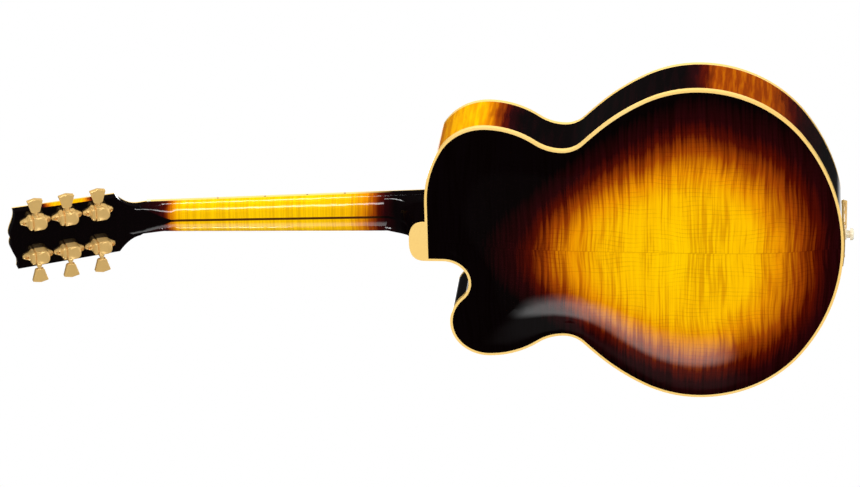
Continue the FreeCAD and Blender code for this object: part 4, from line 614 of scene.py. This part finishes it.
def white_button():
    """Ivory-coloured strap button."""
    def build(tree):
        cloud = tree.grain(220.0, 220.0, 220.0)
        return {"Base Color": tree.mix(cloud, tint(238, 228, 196), tint(250, 244, 222)),
                "Roughness": 0.22 + cloud * 0.12, "Coat Weight": 0.4}
    return finish("white_button", build)


def black_dots():
    """Black plastic of the side dots."""
    def build(tree):
        scuff = tree.grain(900.0, 900.0, 900.0)
        return {"Base Color": tree.mix(scuff, tint(10, 9, 9), tint(24, 21, 20)),
                "Roughness": 0.3 + scuff * 0.15}
    return finish("black_dots", build)


def tortoise():
    """Mottled brown plastic of the pickguard."""
    def build(tree):
        x, y, z = tree.place()
        bend = tree.grain(30.0, 30.0, 30.0, detail=1.0)
        drift = bend * 2.2
        cloud = tree.noise(x * 62.0 + drift, y * 40.0, z * 50.0 + drift, detail=4.0, roughness=0.55)
        colour = tree.ramp(cloud, ((0.34, tint(20, 8, 5)), (0.46, tint(58, 20, 8)),
                                   (0.55, tint(120, 52, 16)), (0.66, tint(178, 98, 36))))
        return {"Base Color": colour, "Roughness": 0.16 + bend * 0.08, "Coat Weight": 0.6}
    return finish("tortoise", build)


def pearl():
    """Mother-of-pearl of the block markers."""
    def build(tree):
        fold = tree.grain(70.0, 40.0, 150.0, detail=3.0, roughness=0.6)
        sheet = tree.ramp(fold, ((0.28, tint(196, 206, 206)), (0.45, tint(240, 238, 228)),
                                 (0.55, tint(226, 214, 220)), (0.72, tint(206, 222, 208))))
        return {"Base Color": sheet, "Roughness": 0.16 + fold * 0.12, "Coat Weight": 0.6}
    return finish("pearl", build)


def bone():
    """Bone of the nut."""
    def build(tree):
        streak = tree.grain(90.0, 700.0, 700.0, detail=3.0)
        return {"Base Color": tree.mix(streak, tint(226, 212, 176), tint(244, 236, 212)),
                "Roughness": 0.34 + streak * 0.14, "Subsurface Weight": 0.1}
    return finish("bone", build)


# Metals

GOLD_ROUGHNESS, GOLD_METAL, GOLD_DARK = 0.17, 0.36, 0.84
WRAP_WAVES = 2200.0


def polished(name, light, dark, rough, metal=1.0):
    """Plain metal with fine scuffs."""
    def build(tree):
        cloud = tree.grain(60.0, 60.0, 60.0, detail=3.0)
        scuff = tree.grain(900.0, 900.0, 300.0)
        return {"Base Color": tree.mix(cloud, dark, light), "Metallic": metal,
                "Roughness": rough + scuff * 0.06 + cloud * 0.05,
                "Normal": tree.bump(scuff, strength=0.01, distance=0.0001)}
    return finish(name, build)


def gold(context):
    """Gold plating."""
    light = tuple(context.scene.archtop_hardware.gold)
    dark = tuple(level * GOLD_DARK for level in light)
    return polished("gold_plate", light, dark, GOLD_ROUGHNESS, GOLD_METAL)


def wound_wire():
    """Nickel wrap of the strings."""
    def build(tree):
        _, _, z = tree.place()
        wrap = (tree.math("SINE", z * WRAP_WAVES) + 1.0) / 2.0
        dull = tree.grain(200.0, 200.0, 40.0)
        return {"Base Color": tree.mix(dull, tint(150, 144, 136), tint(196, 190, 180)), "Metallic": 1.0,
                "Roughness": 0.26 + dull * 0.12,
                "Normal": tree.bump(wrap, strength=0.15, distance=0.0001)}
    return finish("wound_wire", build)


# Modelling

def deselect():
    """Nothing selected in object mode."""
    if bpy.context.mode != "OBJECT":
        bpy.ops.object.mode_set(mode="OBJECT")
    bpy.ops.object.select_all(action="DESELECT")


def activate(*pieces):
    """Only these pieces selected, the first one active."""
    deselect()
    for piece in pieces:
        piece.select_set(True)
    bpy.context.view_layer.objects.active = pieces[0]


def start_picking(mode):
    """Nothing selected in the active mesh, which takes vertices or edges next."""
    bpy.ops.object.mode_set(mode="EDIT")
    bpy.ops.mesh.select_mode(type=mode)
    bpy.ops.mesh.select_all(action="DESELECT")
    bpy.ops.object.mode_set(mode="OBJECT")


def pick_vertices(piece, test):
    """Vertices of the active mesh selected by a test of their place, back in edit mode."""
    start_picking("VERT")
    for vertex in piece.data.vertices:
        vertex.select = test(vertex.co)
    bpy.ops.object.mode_set(mode="EDIT")


def pick_edges(piece, test):
    """Edges of the active mesh selected by a test of their ends, back in edit mode."""
    start_picking("EDGE")
    for edge in piece.data.edges:
        edge.select = test(*(piece.data.vertices[index].co for index in edge.vertices))
    bpy.ops.object.mode_set(mode="EDIT")


def apply_all(piece):
    """The active piece's place and modifiers go into its mesh."""
    bpy.ops.object.mode_set(mode="OBJECT")
    bpy.ops.object.transform_apply(location=True, rotation=True, scale=True)
    for modifier in list(piece.modifiers):
        bpy.ops.object.modifier_apply(modifier=modifier.name)


def axes(origin, x_way, y_way, z_way):
    """Matrix of a place with three directions."""
    turn = Matrix((x_way, y_way, z_way)).transposed()
    return Matrix.Translation(origin) @ turn.to_4x4()


def seat(piece, matrix, name, material, body, slot, *nodes):
    """A modelled piece goes to its place on the guitar, with its normals out."""
    activate(piece)
    piece.name = piece.data.name = name
    piece.matrix_world = matrix
    apply_all(piece)
    bpy.ops.object.mode_set(mode="EDIT")
    bpy.ops.mesh.select_all(action="SELECT")
    bpy.ops.mesh.remove_doubles(threshold=MERGE)
    bpy.ops.mesh.normals_make_consistent(inside=False)
    bpy.ops.object.mode_set(mode="OBJECT")
    bpy.ops.object.shade_smooth_by_angle(angle=SMOOTH_ANGLE)
    piece.data.materials.clear()
    piece.data.materials.append(material)
    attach(piece, body)
    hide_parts(*nodes)


def side_of(number):
    """1 for a string of the bass side and -1 for one of the treble side."""
    return 1 if number > len(STRINGS) / 2 else -1


def coil(looks, number):
    """Turns of one string round an upright post, with straight ends."""
    radius = STRINGS[number - 1][0] * MM / 2
    turn = side_of(number)
    climb = 2 * radius + looks.winding_space
    deselect()
    bpy.ops.mesh.primitive_circle_add(vertices=WIRE_SIDES, radius=radius, rotation=(math.pi / 2, 0, 0),
                                      location=(POST_RADIUS + radius, 0, 0))
    piece = bpy.context.object
    apply_all(piece)
    screw = piece.modifiers.new("turns", "SCREW")
    screw.axis, screw.angle, screw.screw_offset = "Z", turn * 2 * math.pi, climb
    screw.iterations, screw.steps, screw.render_steps = looks.winding_turns, TURN_STEPS, TURN_STEPS
    apply_all(piece)
    for way, height in ((-1, 0.0), (1, climb * looks.winding_turns)):
        pick_vertices(piece, lambda place: abs(place.y) < NEAR and place.x > 0
                      and abs(place.z - height) < radius + NEAR)
        bpy.ops.mesh.extrude_region_move(TRANSFORM_OT_translate={"value": (0, way * turn * 2 * radius, 0)})
    bpy.ops.mesh.select_all(action="SELECT")
    bpy.ops.mesh.fill_holes(sides=0)
    bpy.ops.object.mode_set(mode="OBJECT")
    return piece


# Tuner housing, in millimetres

def scaled(place):
    """A place in millimetres as metres."""
    return [value * MM for value in place]


def bevel_edges(piece, test, offset, segments):
    """Edges of the active piece rounded over."""
    pick_edges(piece, test)
    bpy.ops.mesh.bevel(offset=offset * MM, segments=segments, affect="EDGES", profile=0.5)
    bpy.ops.object.mode_set(mode="OBJECT")


def block(low, high):
    """A block between two corners."""
    deselect()
    bpy.ops.mesh.primitive_cube_add(size=1, location=[(a + b) / 2 * MM for a, b in zip(low, high)])
    piece = bpy.context.object
    piece.scale = [(b - a) * MM for a, b in zip(low, high)]
    apply_all(piece)
    return piece


def cone(taper, height=0):
    """A round taper along Y at a height."""
    deselect()
    bpy.ops.mesh.primitive_cone_add(
        vertices=ROUND_SIDES, radius1=taper.radii[0] * MM, radius2=taper.radii[1] * MM,
        depth=(taper.end - taper.start) * MM, rotation=(-math.pi / 2, 0, 0),
        location=scaled((0, (taper.start + taper.end) / 2, height)))
    piece = bpy.context.object
    apply_all(piece)
    return piece


def casing():
    """Casing of a housing, round at its nut end."""
    piece = block(CASING_LOW, CASING_HIGH)
    bevel_edges(piece, lambda a, b: abs(a.z - b.z) > NEAR and a.y < 0, CASING_CORNER, segments=10)
    bevel_edges(piece, lambda a, b: min(a.z, b.z) > CASING_HIGH[2] * MM - NEAR, CASING_ROUND, segments=5)
    return piece


def dome():
    """Low dome on the casing."""
    deselect()
    bpy.ops.mesh.primitive_uv_sphere_add(segments=DOME_SIDES, ring_count=DOME_RINGS,
                                         radius=DOME_RADIUS * MM, location=scaled(DOME_PLACE))
    piece = bpy.context.object
    piece.scale = (1, 1, DOME_FLATNESS)
    apply_all(piece)
    return piece


def collar():
    """Collar round the button's shaft."""
    piece = cone(COLLAR)
    piece.rotation_euler = (0, 0, -math.pi / 2)
    piece.location = scaled(COLLAR_PLACE)
    apply_all(piece)
    return piece


def raised_band(band):
    """Band across a housing, with round corners and edges."""
    piece = block((-band.half, band.start, 0), (band.half, band.end, band.tall))
    bevel_edges(piece, lambda a, b: abs(a.y - b.y) > NEAR and min(a.z, b.z) > NEAR, BAND_CORNER, segments=6)
    bevel_edges(piece, lambda a, b: abs(a.y - b.y) < NEAR and max(a.z, b.z) > NEAR, band.round_over,
                segments=5)
    return piece


def ear(taper, screw):
    """Tapered ear of a housing with a round tip and a pocket for its screw."""
    piece = cone(taper, EAR_HEIGHT)
    tip = max(abs(taper.start), abs(taper.end)) * MM
    bevel_edges(piece, lambda a, b: min(abs(a.y), abs(b.y)) > tip - NEAR, EAR_ROUND, segments=4)
    cutter = cone(Taper(-POCKET_DEPTH / 2, POCKET_DEPTH / 2, (POCKET_RADIUS, POCKET_RADIUS)))
    cutter.rotation_euler = (math.pi / 2, 0, 0)
    cutter.location = scaled((0, screw, EAR_HEIGHT + POCKET_DEPTH / 2))
    apply_all(cutter)
    activate(piece)
    pocket = piece.modifiers.new("pocket", "BOOLEAN")
    pocket.operation, pocket.solver, pocket.object = "DIFFERENCE", "EXACT", cutter
    apply_all(piece)
    bpy.data.objects.remove(cutter)
    return piece


def housing():
    """Sealed tuner housing on the plane of the head's back."""
    activate(casing(), dome(), collar(), *(raised_band(band) for band in BANDS), cone(EAR_ROOT, EAR_HEIGHT),
             ear(REAR_EAR, REAR_SCREW), ear(FORE_EAR, FORE_SCREW))
    bpy.ops.object.join()
    bpy.ops.object.mode_set(mode="EDIT")
    bpy.ops.mesh.select_all(action="SELECT")
    bpy.ops.mesh.bisect(plane_co=(0, 0, 0), plane_no=(0, 0, 1), clear_inner=True, use_fill=False)
    bpy.ops.object.mode_set(mode="OBJECT")
    return bpy.context.object


# Steps

class ARCHTOP_OT_body(Operator):
    """Lacquer the back, the rim and the top, and finish the wood inside"""

    bl_idname = "archtop.body"
    bl_label = "Body"

    def execute(self, context):
        dress(maple_back(context), "back_plate")
        dress(maple_rim(context), "rim_bass", "rim_treble")
        dress(spruce_top(context), "top_plate")
        dress(pale_wood(), "tone_bars", "neck_block", "end_block", "back_lining", "top_lining")
        return {"FINISHED"}


class ARCHTOP_OT_neck(Operator):
    """Lacquer the neck, the headstock and the fingerboard"""

    bl_idname = "archtop.neck"
    bl_label = "Neck"

    def execute(self, context):
        dress(maple_neck(context), "neck_bass_half", "neck_treble_half")
        dress(dark_strip(context), "neck_centre_strip")
        dress(black_lacquer(), "headstock_face")
        dress(ebony(), "fingerboard", "bridge_base", "bridge_saddle")
        dress(pearl(), "position_markers")
        dress(bone(), "nut")
        return {"FINISHED"}


class ARCHTOP_OT_trim(Operator):
    """Finish the bindings, the pickguard and the small plastic pieces"""

    bl_idname = "archtop.trim"
    bl_label = "Trim"

    def execute(self, context):
        dress(cream_binding(), "back_binding", "top_binding", "heel_cap", "headstock_binding")
        dress(board_binding(context), "fingerboard_binding")
        dress(white_button(), "strap_button")
        dress(tortoise(), "pickguard")
        dress(layered_black(), "truss_rod_cover")
        dress(black_dots(), "side_dots")
        return {"FINISHED"}


class ARCHTOP_OT_metal(Operator):
    """Plate the fittings and finish the frets and the strings"""

    bl_idname = "archtop.metal"
    bl_label = "Metal"

    def execute(self, context):
        plate = gold(context)
        dress(plate, "truss_cover_screws", "tailpiece_screws", "tuner_screws", "tuner_bushings",
              "bridge_posts", "thumbwheel_bass", "thumbwheel_treble", "tailpiece", "tailpiece_bracket",
              "pickguard_bracket")
        for number in NUMBERS:
            dress(plate, f"tuner_post_{number}", f"tuner_button_{number}")
        fret_wire = polished("fret_wire", tint(206, 202, 194), tint(176, 170, 160), rough=0.2)
        dress(fret_wire, "frets")
        rod_steel = polished("rod_steel", tint(168, 164, 158), tint(130, 126, 122), rough=0.3)
        dress(rod_steel, "truss_rod", "truss_rod_nut")
        dress(wound_wire(), "strings")
        return {"FINISHED"}


class ARCHTOP_OT_windings(Operator):
    """Wind the strings round their posts, in the wire of the strings"""

    bl_idname = "archtop.windings"
    bl_label = "Windings"

    def execute(self, context):
        wire = bpy.data.materials["wound_wire"]
        for number, (_, angle) in zip(NUMBERS, STRINGS):
            piece = coil(context.scene.archtop_hardware, number)
            turn = math.radians(angle)
            out = Vector((math.cos(turn), 0, 0)) + HEAD_ALONG * math.sin(turn)
            start = POSTS[number] + HEAD_UP * WINDING_START
            seat(piece, axes(start, out, HEAD_UP.cross(out), HEAD_UP), f"winding_{number}", wire,
                 f"tuner_post_{number}", "plain_steel", f"string_winding_{number}")
        return {"FINISHED"}


class ARCHTOP_OT_housings(Operator):
    """Model the sealed tuner housings, in the plating of the fittings"""

    bl_idname = "archtop.housings"
    bl_label = "Tuner housings"

    def execute(self, context):
        plate = bpy.data.materials["gold_plate"]
        first = housing()
        for number in NUMBERS:
            piece = first.copy()
            piece.data = first.data.copy()
            context.scene.collection.objects.link(piece)
            foot = POSTS[number] - HEAD_UP * HEAD_THICKNESS
            button_way = Vector((side_of(number), 0, 0))
            seat(piece, axes(foot, button_way, HEAD_ALONG, -HEAD_UP), f"housing_{number}", plate,
                 "guitar", "gold_metal", "tuner_housings")
        bpy.data.objects.remove(first)
        return {"FINISHED"}


# Studio

LAMP_ENDS = (0.0, 0.25)
# Wall that the guitar mirrors: how far it reaches round the view, its light and the dark beside it
WALL_EDGE, WALL_LIGHT, WALL_DARK = (0.965, 0.99), 0.92, 0.02
WHITE = (1.0, 1.0, 1.0, 1.0)


def lamp(name, angle, size, power, fade=0.0, lean=0.0, height=LAMP_HEIGHT):
    """A soft lamp that faces the guitar, at an angle in degrees from the back towards the bass side."""
    turn = math.radians(angle)
    place = Vector((math.sin(turn) * LAMP_REACH, -math.cos(turn) * LAMP_REACH, height))
    light = bpy.data.lights.new(name, "AREA")
    light.shape, light.size, light.size_y, light.energy = "RECTANGLE", size[0], size[1], power
    if fade:
        light.use_nodes = True
        tree = Tree(light.node_tree)
        spot = tree.node("ShaderNodeNewGeometry", output="Parametric")
        across = tree.node("ShaderNodeSeparateXYZ", None, {0: spot})
        along = across.other(1)
        ends = tree.smooth(tree.least(along, 1.0 - along), *LAMP_ENDS)
        glow = (1.0 - tree.smooth(across, 1.0 - fade, 1.0)) * ends
        tree.node("ShaderNodeOutputLight", None, {0: tree.node("ShaderNodeEmission", None, {1: glow})})
    holder = bpy.data.objects.new(name, light)
    bpy.context.scene.collection.objects.link(holder)
    holder.location = place
    facing = Vector((-place.x, -place.y, 0)).to_track_quat("-Z", "Y")
    holder.rotation_euler = (facing @ Quaternion((0, 0, 1), math.radians(lean))).to_euler()
    holder.visible_camera = False
    return holder


class ARCHTOP_OT_studio(Operator):
    """Set the camera, the lamps, the white room and the floor"""

    bl_idname = "archtop.studio"
    bl_label = "Studio"

    def execute(self, context):
        context.scene.view_settings.view_transform = "Standard"
        self.camera(context)
        self.lamps(context.scene.archtop_studio)
        self.room(context)
        self.floor(context)
        return {"FINISHED"}

    def camera(self, context):
        """A long lens behind the guitar."""
        lens = bpy.data.cameras.new("camera")
        lens.lens, lens.sensor_width, lens.sensor_fit = LENS, SENSOR, "HORIZONTAL"
        camera = bpy.data.objects.new("camera", lens)
        context.scene.collection.objects.link(camera)
        camera.matrix_world = axes(CAMERA_PLACE, CAMERA_RIGHT, CAMERA_UP, -VIEW_WAY)
        context.scene.camera = camera

    def lamps(self, lights):
        """Lamps for the body, and two strips at the height of the neck."""
        lamp("panel", angle=-53, size=(1.4, 1.6), power=lights.panel, fade=0.42, lean=6)
        lamp("treble_strip", angle=-73, size=(0.14, 1.5), power=lights.treble_strip, height=NECK_LAMP_HEIGHT)
        lamp("bass_strip", angle=35, size=(0.5, 2.6), power=lights.bass_strip)
        edge_lamp = lamp("edge_lamp", angle=106, size=(1.0, 2.6), power=lights.edge)
        edge_lamp.visible_glossy = False
        lamp("edge_strip", angle=100, size=(0.35, 1.5), power=lights.edge_strip, height=NECK_LAMP_HEIGHT)
        lamp("front_lamp", angle=205, size=(1.4, 2.4), power=lights.front, fade=0.9)

    def room(self, context):
        """White to the camera, even light on the guitar, and one far wall in what it mirrors."""
        world = bpy.data.worlds.new("room")
        context.scene.world = world
        world.use_nodes = True
        tree = Tree(world.node_tree)
        way = tree.node("ShaderNodeTexCoord", output="Generated")
        ahead = tree.node("ShaderNodeVectorMath", {"operation": "DOT_PRODUCT"}, {0: way, 1: VIEW_WAY},
                          output=1)
        seen = tree.node("ShaderNodeLightPath", output="Is Camera Ray")
        mirrored = tree.most(seen.other("Is Glossy Ray"), seen.other("Is Transmission Ray"))
        wall = tree.smooth(ahead, *WALL_EDGE) * WALL_LIGHT + WALL_DARK
        ambient = context.scene.archtop_studio.ambient
        even = tree.node("ShaderNodeMix", {"data_type": "FLOAT"}, {0: mirrored, 2: ambient, 3: wall})
        level = tree.node("ShaderNodeMix", {"data_type": "FLOAT"}, {0: seen, 2: even, 3: 1.0})
        shader = tree.node("ShaderNodeBackground", None, {0: WHITE, 1: level})
        tree.node("ShaderNodeOutputWorld", None, {0: shader})

    def floor(self, context):
        """A pale round floor under the guitar."""
        deselect()
        bpy.ops.mesh.primitive_circle_add(vertices=FLOOR_SIDES, radius=FLOOR_RADIUS, fill_type="NGON",
                                          location=(0, 0, FLOOR_HEIGHT))
        floor = context.object
        floor.name = "floor"

        def build(tree):
            haze = tree.grain(3.0, 3.0, 0.0)
            return {"Base Color": tree.mix(haze, (0.86, 0.86, 0.86), (0.9, 0.9, 0.9)), "Roughness": 0.9}
        floor.data.materials.append(finish("pale_floor", build))


class ARCHTOP_PT_panel(Panel):
    """Settings and steps of the guitar"""

    bl_label = "Archtop guitar"
    bl_space_type = "VIEW_3D"
    bl_region_type = "UI"
    bl_category = "Archtop"

    def draw(self, context):
        for group in GROUPS:
            settings = getattr(context.scene, group)
            column = self.layout.column()
            for name in settings.__annotations__:
                column.prop(settings, name)
        for step in STEPS:
            self.layout.operator(step.bl_idname)


GROUPS = {"archtop_burst": BurstColours, "archtop_wood": WoodFigure, "archtop_hardware": HardwareLooks,
          "archtop_studio": StudioLight}
STEPS = (ARCHTOP_OT_studio, ARCHTOP_OT_body, ARCHTOP_OT_neck, ARCHTOP_OT_trim, ARCHTOP_OT_metal,
         ARCHTOP_OT_windings, ARCHTOP_OT_housings)


def register():
    """Add the classes and the scene's settings."""
    for group in (*GROUPS.values(), *STEPS, ARCHTOP_PT_panel):
        bpy.utils.register_class(group)
    for name, group in GROUPS.items():
        setattr(bpy.types.Scene, name, PointerProperty(type=group))


def unregister():
    """Take the classes and the scene's settings away."""
    for name in GROUPS:
        delattr(bpy.types.Scene, name)
    for group in (ARCHTOP_PT_panel, *reversed(STEPS), *reversed(GROUPS.values())):
        bpy.utils.unregister_class(group)


def main():
    """Dress the guitar."""
    register()
    bpy.ops.archtop.studio()
    bpy.ops.archtop.body()
    bpy.ops.archtop.neck()
    bpy.ops.archtop.trim()
    bpy.ops.archtop.metal()
    bpy.ops.archtop.windings()
    bpy.ops.archtop.housings()


if __name__ == "__main__":
    main()
